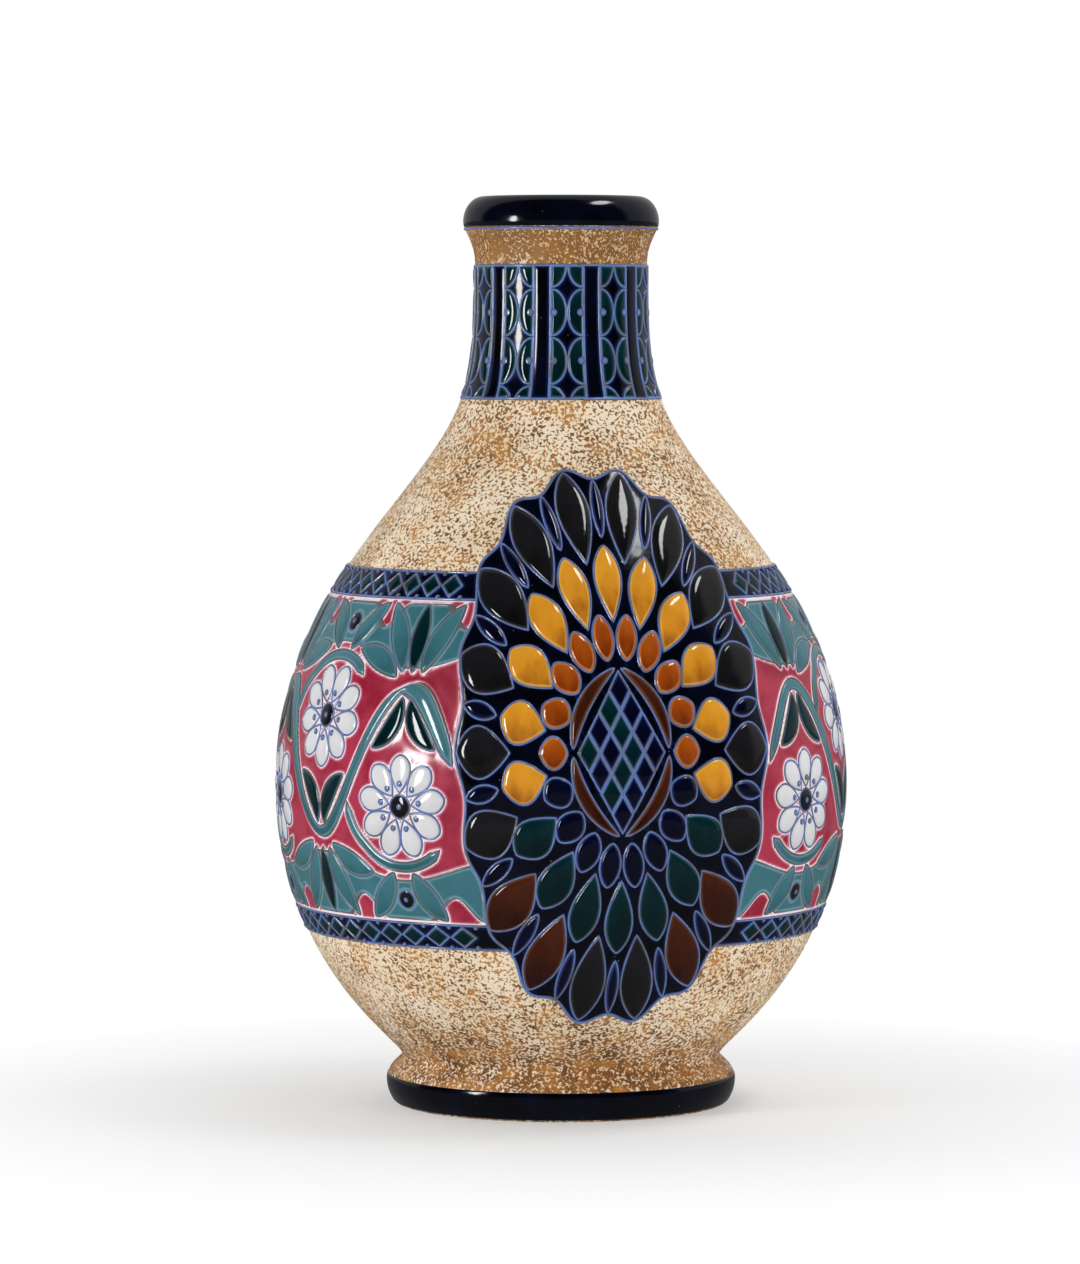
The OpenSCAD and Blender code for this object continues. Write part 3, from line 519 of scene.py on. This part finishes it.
def pools(cells, crown, rise, across=9):
    shapes = []
    for cell in cells:
        axis, left, right = cell
        count = len(left)
        edge = finely(cellEdge(cell), pool["edgeStep"])
        flat = (left[:, None] + (right - left)[:, None] * eased(across)[None, :, None]).reshape(-1, 2)
        gap = np.sqrt(((flat[:, None] - edge[None]) ** 2).sum(axis=2).min(axis=1)).reshape(count, across)
        gap[:, [0, -1]] = 0
        gap = gap.ravel()
        reach = min(rise, gap.max())
        near = np.clip(gap / reach, 0, 1)
        height = (crown - pool["base"]) * min(1, (reach / pool["full"]) ** 0.5)
        lift = pool["base"] + height * np.sqrt(1 - (1 - near) ** 2)
        low = (flat[:, 1].max() - flat[:, 1]) / np.ptp(flat[:, 1])
        # A station without width is one point
        index = np.arange(len(flat)).reshape(count, across)
        narrow = np.linalg.norm(left - right, axis=1) < 1e-4
        index[narrow] = index[narrow, :1]
        faces = [(q, r, s, p) for p, q, r, s in gridFaces(count, across, False)]
        shapes.append(merged(fromAxis(axis, flat, lift), faces, {"edge": gap, "low": low}, index.ravel()))
    return joined(shapes)


# The slip line: offsets from a cell's edge, lift over the wall and share of the crest; half its width and
# the step of its spots serve the glaze beside it
slipLine = {"offset": [-0.3, 0.0, 0.4, 0.8, 1.15], "lift": [0.3, 0.68, 0.85, 0.62, 0.0],
            "crest": [0.3, 0.8, 1.0, 0.7, 0.0], "step": 1.5, "corner": 0.62, "half": 0.75, "spotStep": 0.6}
lineSpots = []


def noteLine(axis, path, closed):
    lineSpots.append(fromAxis(axis, finely(path, slipLine["spotStep"], closed), 0))


def outlines(cells):
    shapes = []
    for cell in cells:
        loop = finely(cellEdge(cell), slipLine["step"])
        normal = toLeft(np.roll(loop, -1, axis=0) - loop)
        both = normal + np.roll(normal, 1, axis=0)
        length = np.linalg.norm(both, axis=1)[:, None]
        outwards = both / np.maximum(length, 1e-6) / np.maximum(length / 2, slipLine["corner"])
        noteLine(cell[0], loop + outwards * slipLine["offset"][2], True)
        profile = zip(slipLine["offset"], slipLine["lift"])
        points = [fromAxis(cell[0], loop + outwards * o, h) for o, h in profile]
        faces = gridFaces(len(points), len(loop), True)
        shapes.append((np.concatenate(points), faces, {"crest": np.repeat(slipLine["crest"], len(loop))}))
    return joined(shapes)


# A line of slip along an open path on the wall, tapered at both ends; its profile holds shares of the half
# width and the height, and the share of the crest. A taper is so many half widths long
trailEnd = {"taper": 2.2, "least": 0.12}
trailProfile = [(-1, -0.1, 0), (-0.72, 0.62, 0.7), (-0.3, 0.95, 1),
                (0.3, 0.95, 1), (0.72, 0.62, 0.7), (1, -0.1, 0)]


def trail(axis, path, halfWidth, height):
    noteLine(axis, path, False)
    left = toLeft(np.gradient(path, axis=0))
    walked = np.concatenate([[0], np.cumsum(np.linalg.norm(np.diff(path, axis=0), axis=1))])
    ends = np.clip(np.minimum(walked, walked[-1] - walked) / (trailEnd["taper"] * halfWidth), 0, 1)
    swell = trailEnd["least"] + (1 - trailEnd["least"]) * np.sqrt(1 - (1 - ends) ** 2)
    points = [fromAxis(axis, path + left * (o * halfWidth * swell)[:, None], h * height * swell)
              for o, h, crest in trailProfile]
    faces = gridFaces(len(points), len(path), False)
    return np.concatenate(points), faces, {"crest": np.repeat([row[2] for row in trailProfile], len(path))}


# A drop of slip that stands on the wall or on a cell, its edge sunk in
def drop(axis, middle, r, base, height, sunk=0.25, rings=5, segments=16):
    turn = 2 * np.pi * np.arange(segments) / segments
    circle = np.stack([np.cos(turn), np.sin(turn)], axis=1)
    points, crest = [fromAxis(axis, np.array([middle], float), base + height)], [[1.0]]
    for i in range(1, rings + 1):
        s = i / rings
        lift = base + height * math.sqrt(1 - s * s) - (sunk if i == rings else 0)
        points.append(fromAxis(axis, np.array(middle) + r * s * circle, lift))
        crest.append([1 - s * s] * segments)
    faces = [(0, 1 + k, 1 + (k + 1) % segments) for k in range(segments)]
    faces += [(1 + p, 1 + s, 1 + r, 1 + q) for p, q, r, s in gridFaces(rings, segments, True)]
    return np.concatenate(points), faces, {"crest": np.concatenate(crest)}


# The neck's pattern: upright bars, and half discs whose flat sides lie along the bars' lines. The neck's
# ends cut off so many rows
neck = {"panels": 11, "turn": -12.4, "bar": 7.1, "line": 1.4, "radius": 45.5, "rows": 4, "gap": 2.1,
        "low": 374.4, "high": 442.6, "seat": 0.2, "cellGap": 1.5, "crown": 1.1, "rise": 3.2, "overrun": 0.8,
        "dot": 2.3, "dotIn": 1.1, "dotBase": 0.75, "dotRise": 0.5, "barBase": 0.56, "barRise": -0.5,
        "cutRows": 1.25, "stations": 19, "linePoints": 60}
thinLine = (0.72, 0.8)  # half width and height of the lines that part bands and panels
neckDegrees = 180 / math.pi / neck["radius"]
discEdge = (neck["bar"] / 2 + neck["line"] + neck["seat"]) * neckDegrees
discReach = 180 / neck["panels"] - discEdge - neck["cellGap"] / 2 * neckDegrees
discPitch = (vase["neckTop"] - neck["low"]) / (neck["rows"] - neck["cutRows"])
discHalf = (discPitch - neck["gap"]) / 2


def halfDisc(bar, side, middle):
    low, high = max(neck["low"], middle - discHalf), min(neck["high"], middle + discHalf)
    z = low + (high - low) * eased(neck["stations"])
    reach = discReach * np.sqrt(np.maximum(0, 1 - ((z - middle) / discHalf) ** 2))
    mm = np.radians(1) * wallR(z)
    flat = np.stack([side * discEdge * mm, z], axis=1)
    bulge = np.stack([side * (discEdge + reach) * mm, z], axis=1)
    return (bar, flat, bulge) if side > 0 else (bar, bulge, flat)


bars = [neck["turn"] + i * 360 / neck["panels"] for i in range(neck["panels"])]
discRows = [[halfDisc(bar, side, vase["neckTop"] - row * discPitch) for bar in bars for side in (-1, 1)]
            for row in range(neck["rows"])]
for name, cells, node in (("neckTopDiscs", discRows[0], "neck_top_discs"),
                          ("neckHalfDiscs", discRows[1] + discRows[2], "neck_half_discs"),
                          ("neckBottomDiscs", discRows[3], "neck_bottom_discs")):
    addPiece(name, pools(cells, neck["crown"], neck["rise"]), enamels["green"], [node])
neckLines = outlines(sum(discRows, []))
uprights, neckDots = [], []
for bar in bars:
    for side in (-1, 1):
        ends = neck["low"] - neck["overrun"], neck["high"] + neck["overrun"]
        z = np.linspace(*ends, neck["linePoints"])
        x = side * (neck["bar"] + neck["line"]) / 2 / neck["radius"] * wallR(z)
        uprights.append(trail(bar, np.stack([x, z], axis=1), *thinLine))
        for row in (1, 2):
            middle = vase["neckTop"] - row * discPitch
            x = side * (discEdge * math.radians(1) * wallR(middle) + neck["dotIn"])
            neckDots.append(drop(bar, (x, middle), neck["dot"], neck["dotBase"], neck["dotRise"]))
addPiece("neckUprights", joined(uprights), slip, ["neck_uprights"])
addPiece("neckOutlines", neckLines, slip)
addPiece("neckDots", joined(neckDots), slip)
print("neck drawn")

# The rosette on the front: rings of petals, given by inner and outer radius and half width, round a heart
# of lozenges. The vine of the frieze: every second flower stands on its head
rosette = {"turn": 12, "middle": 196, "petals": 18, "inner": (47, 69, 8), "ring": (66, 102.5, 11),
           "outer": (96, 141, 13), "rays": (108, 135, 4.2), "clear": 2.9, "pitch": (11.4, 10.4), "rows": 3,
           "cellGap": 1.5, "calyx": 3, "calyxStart": 2.5, "calyxBend": 5.25, "edge": (139.8, 3.2),
           "edgeLine": (0.8, 0.9), "rise": 6, "across": 11, "ground": 0.32, "bleed": 0.7}
front = rosette["turn"]
vine = {"flowers": 13, "first": 45, "middle": 189, "swing": 38, "stem": 2.3, "stemEnd": 0.75, "petals": 9,
        "petal": (7.6, 26, 5.8), "flowerDrop": 22, "heart": 5.8, "berry": 4.6, "berryDrop": 69.75,
        "scroll": 31, "scrollRun": 5, "scrollHalf": 2, "scrollEnd": 0.5, "scrollFrom": 180,
        "scrollFirst": 215, "scrollTo": 315, "scrollEase": 43, "leaf": 5.4, "sepal": 4.7, "tip": 79.5,
        "crown": 1.15, "petalEye": 4.2, "eye": (1.9, 0.9, 0.6), "smallEye": (1.6, 0.9, 0.6),
        "lowEye": (1.9, 0.85, 0.6)}
fan = vine["swing"] + vine["stem"] + vine["leaf"] + rosette["cellGap"] / 2
hang = vine["swing"] - vine["stem"] - 2 * rosette["cellGap"]
# Leaves on both sides of a flower's axis: root, tip and bend
vine["leaves"] = [((6.2, -56.5), (22, -vine["tip"]), -1.2), ((6.2, fan), (21, vine["tip"]), 1.2)]
vine["sideLeaf"] = ((10, fan - vine["leaf"] / 2), (38, fan + 10), 2.5)
vine["sideSepal"] = ((3, hang), (19, hang - 25), -4)
vine["step"] = (360 - 2 * vine["first"]) / (vine["flowers"] - 1)
halfRoom = math.radians(vine["first"] - vine["step"] / 2) * wallR(rosette["middle"])
squeeze = (halfRoom - rosette["clear"]) / rosette["outer"][1]
# How a cell swells along its length: shift of its widest place, and fullness
forms = {"plain": (1, 0.7), "petal": (1.45, 0.56), "inner": (1, 0.62), "ring": (1.3, 0.7),
         "outer": (1.25, 0.72), "rays": (1, 0.7)}


def ovalPoint(a, r):
    turn = np.radians(a)
    return np.stack([squeeze * r * np.sin(turn), rosette["middle"] + r * np.cos(turn)], axis=-1)


def ringPetals(plan, shift, low, high):
    start, end, half = rosette[plan]
    cells = []
    for k in range(rosette["petals"]):
        a = (k + shift) * 360 / rosette["petals"]
        if low <= min(a, 360 - a) < high:
            width = half * (squeeze + (1 - squeeze) * math.sin(math.radians(a)) ** 2)
            root, tip = ovalPoint(a, start), ovalPoint(a, end)
            cells.append(leafCell(front, root, tip, 0, width, forms[plan]))
    return cells


def heartLozenges(colour):
    wide, tall = rosette["pitch"]
    share = lozengeShare(wide / 2, tall, rosette["cellGap"])
    rows = rosette["rows"]
    cells = []
    for i in range(-rows, rows + 1):
        n = rows + 1 - abs(i)
        for k in range(n):
            if (i + rows + k) % 2 == colour:
                middle = ((k - (n - 1) / 2) * wide, rosette["middle"] + i * tall)
                cells.append(lozengeCell(front, middle, wide / 2 * share, tall * share))
    return cells


def calyxLeaf(sx, sz):
    half, rows, middle = rosette["calyx"], rosette["rows"] + 1, rosette["middle"]
    start = (sx * rosette["calyxStart"], middle + sz * rows * rosette["pitch"][1])
    end = (sx * (rows * rosette["pitch"][0] / 2 + half * 2 / 3), middle + sz * half)
    return leafCell(front, start, end, sx * sz * rosette["calyxBend"], half, forms["plain"])


calyx = [calyxLeaf(sx, sz) for sx in (-1, 1) for sz in (-1, 1)]
innerRing = partial(ringPetals, "inner", 0.5)
middleRing = partial(ringPetals, "ring", 0)
outerRing = partial(ringPetals, "outer", 0.5)
# Cells, colour, crown and node of each piece; a ring's colours run between two angles from the top
rosetteCells = [
    ("rosetteHeartNavy", heartLozenges(0), "navy", 1.15, "rosette_heart_navy"),
    ("rosetteHeartGreen", heartLozenges(1), "green", 1.15, "rosette_heart_green"),
    ("rosetteCalyx", calyx, "brown", 1.9, "rosette_calyx"),
    ("rosetteRustPetals", innerRing(0, 95), "rust", 2.2, "rosette_rust_petals"),
    ("rosetteNavyPetals", innerRing(95, 181), "navy", 2.2, "rosette_navy_petals"),
    ("rosetteAmberPetals", middleRing(0, 105), "amber", 2.2, "rosette_amber_petals"),
    ("rosetteGreenPetals", middleRing(105, 181), "green", 2.2, "rosette_green_petals"),
    ("rosetteBlackPetals", outerRing(0, 120) + outerRing(160, 181), "black", 2.2, "rosette_black_petals"),
    ("rosetteBrownPetals", outerRing(120, 160), "brown", 2.2, "rosette_brown_petals"),
    ("rosetteRays", ringPetals("rays", 0, 0, 181), "navy", 1.9, "rosette_rays"),
]
rosetteLines = []
for name, cells, colour, crown, node in rosetteCells:
    shape = pools(cells, crown, rosette["rise"], rosette["across"])
    addPiece(name, shape, enamels[colour], [node])
    rosetteLines.append(outlines(cells))


# The dark ground between the petals, edged by a line that follows the petals' tips
def edgeRadius(a):
    return rosette["edge"][0] - rosette["edge"][1] * np.cos(np.radians(a) * rosette["petals"])


def rosetteGround(rings=44, segments=360):
    a = np.arange(segments) * 360 / segments
    points = []
    for i in range(1, rings + 1):
        lift = rosette["ground"] if i < rings else 0
        points.append(fromAxis(front, ovalPoint(a, edgeRadius(a) * i / rings), lift))
    points.append(fromAxis(front, np.array([[0, rosette["middle"]]]), rosette["ground"]))
    faces = [(rings * segments, (k + 1) % segments, k) for k in range(segments)]
    return np.concatenate(points), faces + gridFaces(rings, segments, True)


def edgePath(count=720):
    a = np.arange(count + 1) * 360 / count
    return ovalPoint(a, edgeRadius(a))


rosetteLines.append(trail(front, edgePath(), *rosette["edgeLine"]))
addPiece("rosetteOutlines", joined(rosetteLines), slip)
print("rosette drawn")


# Angle from the rosette's middle at which its edge crosses a height
def rosetteAngle(z):
    path = edgePath()
    right = path[path[:, 0] > 0]
    right = right[np.argsort(right[:, 1])]
    return np.degrees(np.interp(z, right[:, 1], right[:, 0]) / wallR(z))


# Slip lines round the vase, and the lattices of lozenges between them: band, count and the height at which
# the rosette bounds the row
lattices = {"upper": (vase["upperLattice"], 58, vase["frieze"][1]),
            "lower": (vase["lowerLattice"], 60, vase["frieze"][0])}
lattice = {"crown": 1.1, "rise": 3, "drop": (1.4, 0.4, 0.8), "dropIn": 0.2, "linePoints": 480}


def ringLine(z, opening):
    a = np.linspace(opening, 360 - opening, lattice["linePoints"])
    path = np.stack([np.radians(a) * wallR(z), np.full(len(a), z)], axis=1)
    return trail(front, path, *thinLine)


# Whether an angle from the rosette's middle is clear of the petals at a height
def isClear(a, z):
    half = squeeze * math.sqrt(max(0, rosette["outer"][1] ** 2 - (z - rosette["middle"]) ** 2))
    edge = math.degrees((half + rosette["clear"]) / wallR(z))
    return edge < a < 360 - edge


half = neck["line"] / 2
rings = [(vase["rim"]["low"] - half, 0), (vase["neckTop"] - half, 0), (vase["neckBase"] + half, 0)]
for low, high in (vase["upperLattice"], vase["lowerLattice"]):
    rings += [(z, rosetteAngle(z)) for z in (high - half, low + half)]
addPiece("borderLines", joined([ringLine(z, a) for z, a in rings]), slip, ["border_lines"])
latticeLines, latticeDrops = [], []
for name, ((low, high), count, edge) in lattices.items():
    middle = (low + high) / 2
    halfHeight = (high - low) / 2 - neck["line"]
    halfWidth = math.pi * wallR(middle) / count
    share = lozengeShare(halfWidth, halfHeight, neck["cellGap"])
    cells = []
    for i in range(count):
        a = (i + 0.5) * 360 / count
        between = a + 180 / count
        if isClear(a, edge):
            cells.append(lozengeCell(a + front, (0, middle), halfWidth * share, halfHeight * share))
            if isClear(between, edge):
                for z in (low + neck["line"] + lattice["dropIn"], high - neck["line"] - lattice["dropIn"]):
                    latticeDrops.append(drop(between + front, (0, z), *lattice["drop"]))
    shape = pools(cells, lattice["crown"], lattice["rise"])
    addPiece(name + "Lozenges", shape, enamels["green"], [name + "_lozenges_enamel"])
    latticeLines.append(outlines(cells))
addPiece("latticeOutlines", joined(latticeLines), slip)
addPiece("latticeDrops", joined(latticeDrops), slip)
print("lines and lattices drawn")


def upOrDown(k):
    return 1 if k % 2 == 0 else -1


def flowerAxis(k):
    return front + vine["first"] + k * vine["step"]


def vineSpot(k, x, y):
    return np.array([x, vine["middle"] + upOrDown(k) * y])


# A leaf from a plan of root, tip and bend, on one side of the flower's axis
def vineLeaf(k, plan, half, side=1, form="plain"):
    (rootX, rootY), (tipX, tipY), bend = plan
    root, tip = vineSpot(k, side * rootX, rootY), vineSpot(k, side * tipX, tipY)
    return leafCell(flowerAxis(k), root, tip, upOrDown(k) * side * bend, half, forms[form])


def besideRosette(k, x, y):
    x, z = vineSpot(k, x, y)
    return isClear(flowerAxis(k) - front + math.degrees(x / wallR(z)), z)


def stemPath(fine=2, steps=10):
    i = np.arange(-steps / 2, steps * (vine["flowers"] - 1) + steps / 2 + 0.01, 1 / fine)
    a = vine["first"] + i * vine["step"] / steps
    z = vine["middle"] + vine["swing"] * np.cos(np.pi * i / steps)
    return np.stack([np.radians(a) * wallR(z), z], axis=1)


def scrollPath(k, count=34):
    a = np.linspace(vine["scrollFirst"] if k == 0 else vine["scrollFrom"], vine["scrollTo"], count)
    r = vine["scroll"] + vine["scrollRun"] * np.maximum(0, 1 - (a - vine["scrollFrom"]) / vine["scrollEase"])
    turn = np.radians(a)
    return vineSpot(k, r * np.cos(turn), r * np.sin(turn) - vine["flowerDrop"]).T


petals, hearts, berryDots, leaves, sepals, scrolls, eyes = [], [], [], [], [], [], []
start, end, half = vine["petal"]
flowerY, berryY, eyeR = -vine["flowerDrop"], -vine["berryDrop"], start + vine["petalEye"]
for k in range(vine["flowers"]):
    axis = flowerAxis(k)
    for j in range(vine["petals"]):
        x, y = math.sin(2 * math.pi * j / vine["petals"]), math.cos(2 * math.pi * j / vine["petals"])
        root, tip = (start * x, flowerY + start * y), (end * x, flowerY + end * y)
        petals.append(vineLeaf(k, (root, tip, 0), half, form="petal"))
        eyes.append(drop(axis, vineSpot(k, eyeR * x, flowerY + eyeR * y), *vine["lowEye"]))
    hearts.append(dotCell(axis, vineSpot(k, 0, flowerY), vine["heart"]))
    eyes.append(drop(axis, vineSpot(k, 0, flowerY), *vine["eye"]))
    berryDots.append(dotCell(axis, vineSpot(k, 0, berryY), vine["berry"]))
    eyes.append(drop(axis, vineSpot(k, 0, berryY), *vine["smallEye"]))
    scrolls.append(stemCell(axis, scrollPath(k), vine["scrollHalf"], vine["scrollEnd"]))
    for side in (-1, 1):
        leaves += [vineLeaf(k, plan, vine["leaf"], side) for plan in vine["leaves"]]
        tipX, tipY = vine["sideLeaf"][1]
        if besideRosette(k, side * tipX, tipY):
            leaves.append(vineLeaf(k, vine["sideLeaf"], vine["leaf"], side))
        sepals.append(vineLeaf(k, vine["sideSepal"], vine["sepal"], side))
    sepals.append(vineLeaf(k, ((0, fan), (0, vine["tip"]), 0), vine["sepal"]))
stem = [stemCell(front, stemPath(), vine["stem"], vine["stemEnd"])]
# Cells, colour, rise and node of each piece
friezeCells = [
    ("flowerPetals", petals, "white", 3.6, "flower_petals"),
    ("flowerHearts", hearts, "black", 4, "flower_hearts"),
    ("blackBerries", berryDots, "black", 4, "berries"),
    ("vineLeaves", leaves, "teal", 3.2, "vine_leaves"),
    ("vineSepals", sepals, "green", 3.2, "vine_sepals"),
    ("vineScrolls", scrolls, "teal", 2, "vine_scrolls"),
    ("vineStem", stem, "teal", 2.6, "vine_stem"),
]
flowerLines, vineLines = [], []
for name, cells, colour, rise, node in friezeCells:
    addPiece(name, pools(cells, vine["crown"], rise), enamels[colour], [node])
    (vineLines if name.startswith("vine") else flowerLines).append(outlines(cells))

# Teal ground along the frieze's upper and lower border, between a wavy line and a scalloped one
tealGround = {"inner": (54, 6), "outer": (79.8, 12), "rows": 24, "columns": 720, "from": 20,
              "dipForm": 1.5, "line": (0.7, 0.8), "base": 0.16, "rise": 0.38}
tealAngles = np.linspace(tealGround["from"], 360 - tealGround["from"], tealGround["columns"])


def tealBounds(way):
    f = (tealAngles - vine["first"]) / vine["step"]
    inner = way * tealGround["inner"][0] - tealGround["inner"][1] * np.cos(np.pi * f)
    dip = np.maximum(0, -np.cos(2 * np.pi * f)) ** tealGround["dipForm"]
    outer = way * (tealGround["outer"][0] - tealGround["outer"][1] * dip)
    return vine["middle"] + inner, vine["middle"] + outer


for way in (1, -1):
    for z in tealBounds(way):
        clear = rosetteAngle(z)
        keep = (clear < tealAngles) & (tealAngles < 360 - clear)
        path = np.stack([np.radians(tealAngles[keep]) * wallR(z[keep]), z[keep]], axis=1)
        vineLines.append(trail(front, path, *tealGround["line"]))

# Distance from the ground to the nearest slip line
lineSpots = np.concatenate(lineSpots)
nearLine = KDTree(len(lineSpots))
for i, spot in enumerate(lineSpots):
    nearLine.insert(spot, i)
nearLine.balance()
ground = {"swell": 1.3, "bleed": 1.6, "low": 0.4, "sunk": -0.2}


def lineGap(points):
    return np.array([max(0.0, nearLine.find(p)[2] - slipLine["half"]) for p in points])


def underRosette(a, z):
    x = np.radians((a - front + 180) % 360 - 180) * wallR(z) / squeeze
    y = z - rosette["middle"]
    return np.hypot(x, y) < edgeRadius(np.degrees(np.arctan2(x, y)))


# A ground of glaze as a grid: rows of angles and heights. Where it meets a line it rises, or sinks if the
# rise is below zero
def gridGround(a, z, base, rise, closed):
    around, base, rise = (np.broadcast_to(part, z.shape).ravel() for part in (a, base, rise))
    up = z.ravel()
    gap = lineGap(onWall(around, up, 0))
    lift = np.where(underRosette(around, up), ground["sunk"], base + rise * np.exp(-gap / ground["swell"]))
    values = {"toLine": gap, "byLine": np.exp(-gap / ground["bleed"]), "edge": gap,
              "low": np.full(len(gap), ground["low"])}
    return onWall(around, up, lift), gridFaces(*z.shape, closed), values


# The bands' grounds: heights, spacing of the grid, lift, rise at a line, glaze and node
glazes = {"cobalt": cobalt, "crimson": crimson}
bands = [
    ("neckGlaze", (vase["neckBase"], vase["neckTop"]), 0.6, 0.14, -0.05, "cobalt", "neck_glaze"),
    ("upperLatticeGlaze", vase["upperLattice"], 0.7, 0.46, -0.42, "cobalt", "upper_lattice_glaze"),
    ("friezeGlaze", vase["frieze"], 1.26, 0.02, 0.38, "crimson", "frieze_glaze"),
    ("lowerLatticeGlaze", vase["lowerLattice"], 0.7, 0.46, -0.42, "cobalt", "lower_lattice_glaze"),
]
for name, (low, high), step, base, rise, colour, node in bands:
    columns = int(2 * math.pi * wallR((low + high) / 2) / step)
    a = np.arange(columns) * 360 / columns
    z = np.linspace(low, high, int((high - low) / step) + 1)[:, None] * np.ones(columns)
    if name == "neckGlaze":
        # The neck's bars are crowned pools
        panel = 360 / neck["panels"]
        fromBar = np.abs((a - neck["turn"] + panel / 2) % panel - panel / 2)
        inBar = fromBar < (neck["bar"] + neck["line"]) / 2 * neckDegrees
        base, rise = np.where(inBar, neck["barBase"], base), np.where(inBar, neck["barRise"], rise)
    addPiece(name, gridGround(a, z, base, rise, True), glazes[colour], [node])
points, faces = rosetteGround()
values = {"byLine": rosette["bleed"] * np.exp(-lineGap(points) / ground["bleed"])}
addPiece("rosetteGround", (points, faces, values), cobalt)
tealShapes = []
for way in (1, -1):
    inner, outer = tealBounds(way)
    low, high = np.minimum(inner, outer), np.maximum(inner, outer)
    z = low + (high - low) * np.linspace(0, 1, tealGround["rows"])[:, None]
    tealShapes.append(gridGround(front + tealAngles, z, tealGround["base"], tealGround["rise"], False))
addPiece("tealGround", joined(tealShapes), enamels["teal"])
addPiece("flowerOutlines", joined(flowerLines), slip)
addPiece("vineOutlines", joined(vineLines), ironSlip)
addPiece("flowerEyes", joined(eyes), slip)
print("frieze drawn:", len(lineSpots), "line spots")

# Studio: pale floor, a white room behind the vase and a dark one behind the camera
# Gloss sees floor and room dimmed: in reflections the floor is a dim, even glow, painted shade in place of
# the floor shaded by the vase, and the room is darker than the camera sees it. The floor's own shade lies
# between near and far in millimetres
studio = {"radius": 9.0, "corners": 96, "floor": "#f2f2f2", "rough": 0.9, "near": 100, "far": 400,
          "nearShare": 0.4, "front": 0.03, "room": 0.85, "floorInGloss": 0.14, "roomInGloss": 0.45,
          "behind": (0.2, 1, 0), "dusk": (0.05, 0.16)}


# Whether a ray is seen by the camera, straight or through glass, and whether gloss sees it
def seenAndGloss(add):
    path = add("LightPath").node.outputs
    seen = add("Math", (path["Is Camera Ray"], path["Is Transmission Ray"]), operation="MAXIMUM")
    return seen, path["Is Glossy Ray"]


bpy.ops.mesh.primitive_circle_add(vertices=studio["corners"], radius=studio["radius"], fill_type="NGON")
floor = bpy.context.object
floor.name = "studioFloor"
material, add, shader, inMm = newMaterial("paintedPaleFloor")
away = add("VectorMath", {0: inMm}, out="Value", operation="LENGTH")
bright = add("MapRange", (away, studio["near"], studio["far"], studio["nearShare"], 1))
seen, gloss = seenAndGloss(add)
share = add("Math", (seen, bright, gloss), operation="MULTIPLY_ADD")
# Painted shade: reflections see the floor as a dim glow
level = add("MapRange", (gloss, 0, 1, 1, studio["floorInGloss"]))
glow = add("Emission", {"Color": (1, 1, 1, 1), "Strength": level})
plug(shader, {"Base Color": linear(studio["floor"]), "Roughness": studio["rough"]})
mix = add("MixShader", (share, shader.outputs[0], glow))
plug(material.node_tree.nodes["Material Output"], {"Surface": mix})
floor.data.materials.append(material)

world = bpy.data.worlds.new("studioRoom")
scene.world = world
world.use_nodes = True
add = partial(addNode, world.node_tree)
way = add("TexCoord", out="Generated")
behind = add("VectorMath", (way, studio["behind"]), out="Value", operation="DOT_PRODUCT")
room = add("MapRange", (behind, *studio["dusk"], studio["front"], studio["room"]))
seen, gloss = seenAndGloss(add)
inGloss = add("MapRange", (gloss, 0, 1, 1, studio["roomInGloss"]))
room = add("Math", (room, inGloss), operation="MULTIPLY")
level = add("Math", (seen, room), operation="MAXIMUM")
plug(world.node_tree.nodes["Background"], {"Color": (1, 1, 1, 1), "Strength": level})

# Softboxes: place, height on the axis that they aim at, size, power in watts, and whether gloss shows them
lamps = {
    "leftStrip": ((-1.43, -0.93, 0.5), 0.3, (0.3, 0.8), 17, True),
    "overhead": ((0.8, -0.1, 1.85), 0.25, (0.7, 0.35), 8.5, True),
    "skyFill": ((0.3, -0.6, 1.9), 0.2, (1.2, 1.2), 2, False),
    "rightFill": ((1.65, -1.0, 0.12), 0.1, (0.9, 0.2), 16, False),
    "lowFill": ((-0.3, -2.2, 0.22), 0.1, (1.2, 0.3), 6, False),
}
for name, (place, aim, size, power, shown) in lamps.items():
    lamp = bpy.data.lights.new(name, "AREA")
    lamp.shape = "ELLIPSE"
    lamp.size, lamp.size_y = size
    lamp.energy = power
    holder = bpy.data.objects.new(name, lamp)
    holder.location = place
    towards = Vector((0, 0, aim)) - Vector(place)
    holder.rotation_euler = towards.to_track_quat("-Z", "Y").to_euler()
    holder.visible_glossy = shown
    scene.collection.objects.link(holder)

# Camera: focal length, shift of the vase's axis and height of the horizon in pixels of a frame 1264 tall
view = {"focal": 5700, "frame": 1264, "sensor": 36.0, "away": 3.02, "height": 0.4095, "axisRight": 21,
        "horizonUp": 302, "clipEnd": 50}
camera = bpy.data.cameras.new("pictureCamera")
camera.sensor_width = view["sensor"]
camera.lens = view["focal"] * view["sensor"] / view["frame"]
camera.clip_end = view["clipEnd"]
holder = bpy.data.objects.new("pictureCamera", camera)
holder.location = (0, -view["away"], view["height"])
down = math.atan(view["horizonUp"] / view["focal"])
holder.rotation_euler = (math.pi / 2 - down, 0, math.atan(view["axisRight"] / view["focal"]))
scene.collection.objects.link(holder)
scene.camera = holder
scene.view_settings.view_transform = "Standard"
print("studio set")
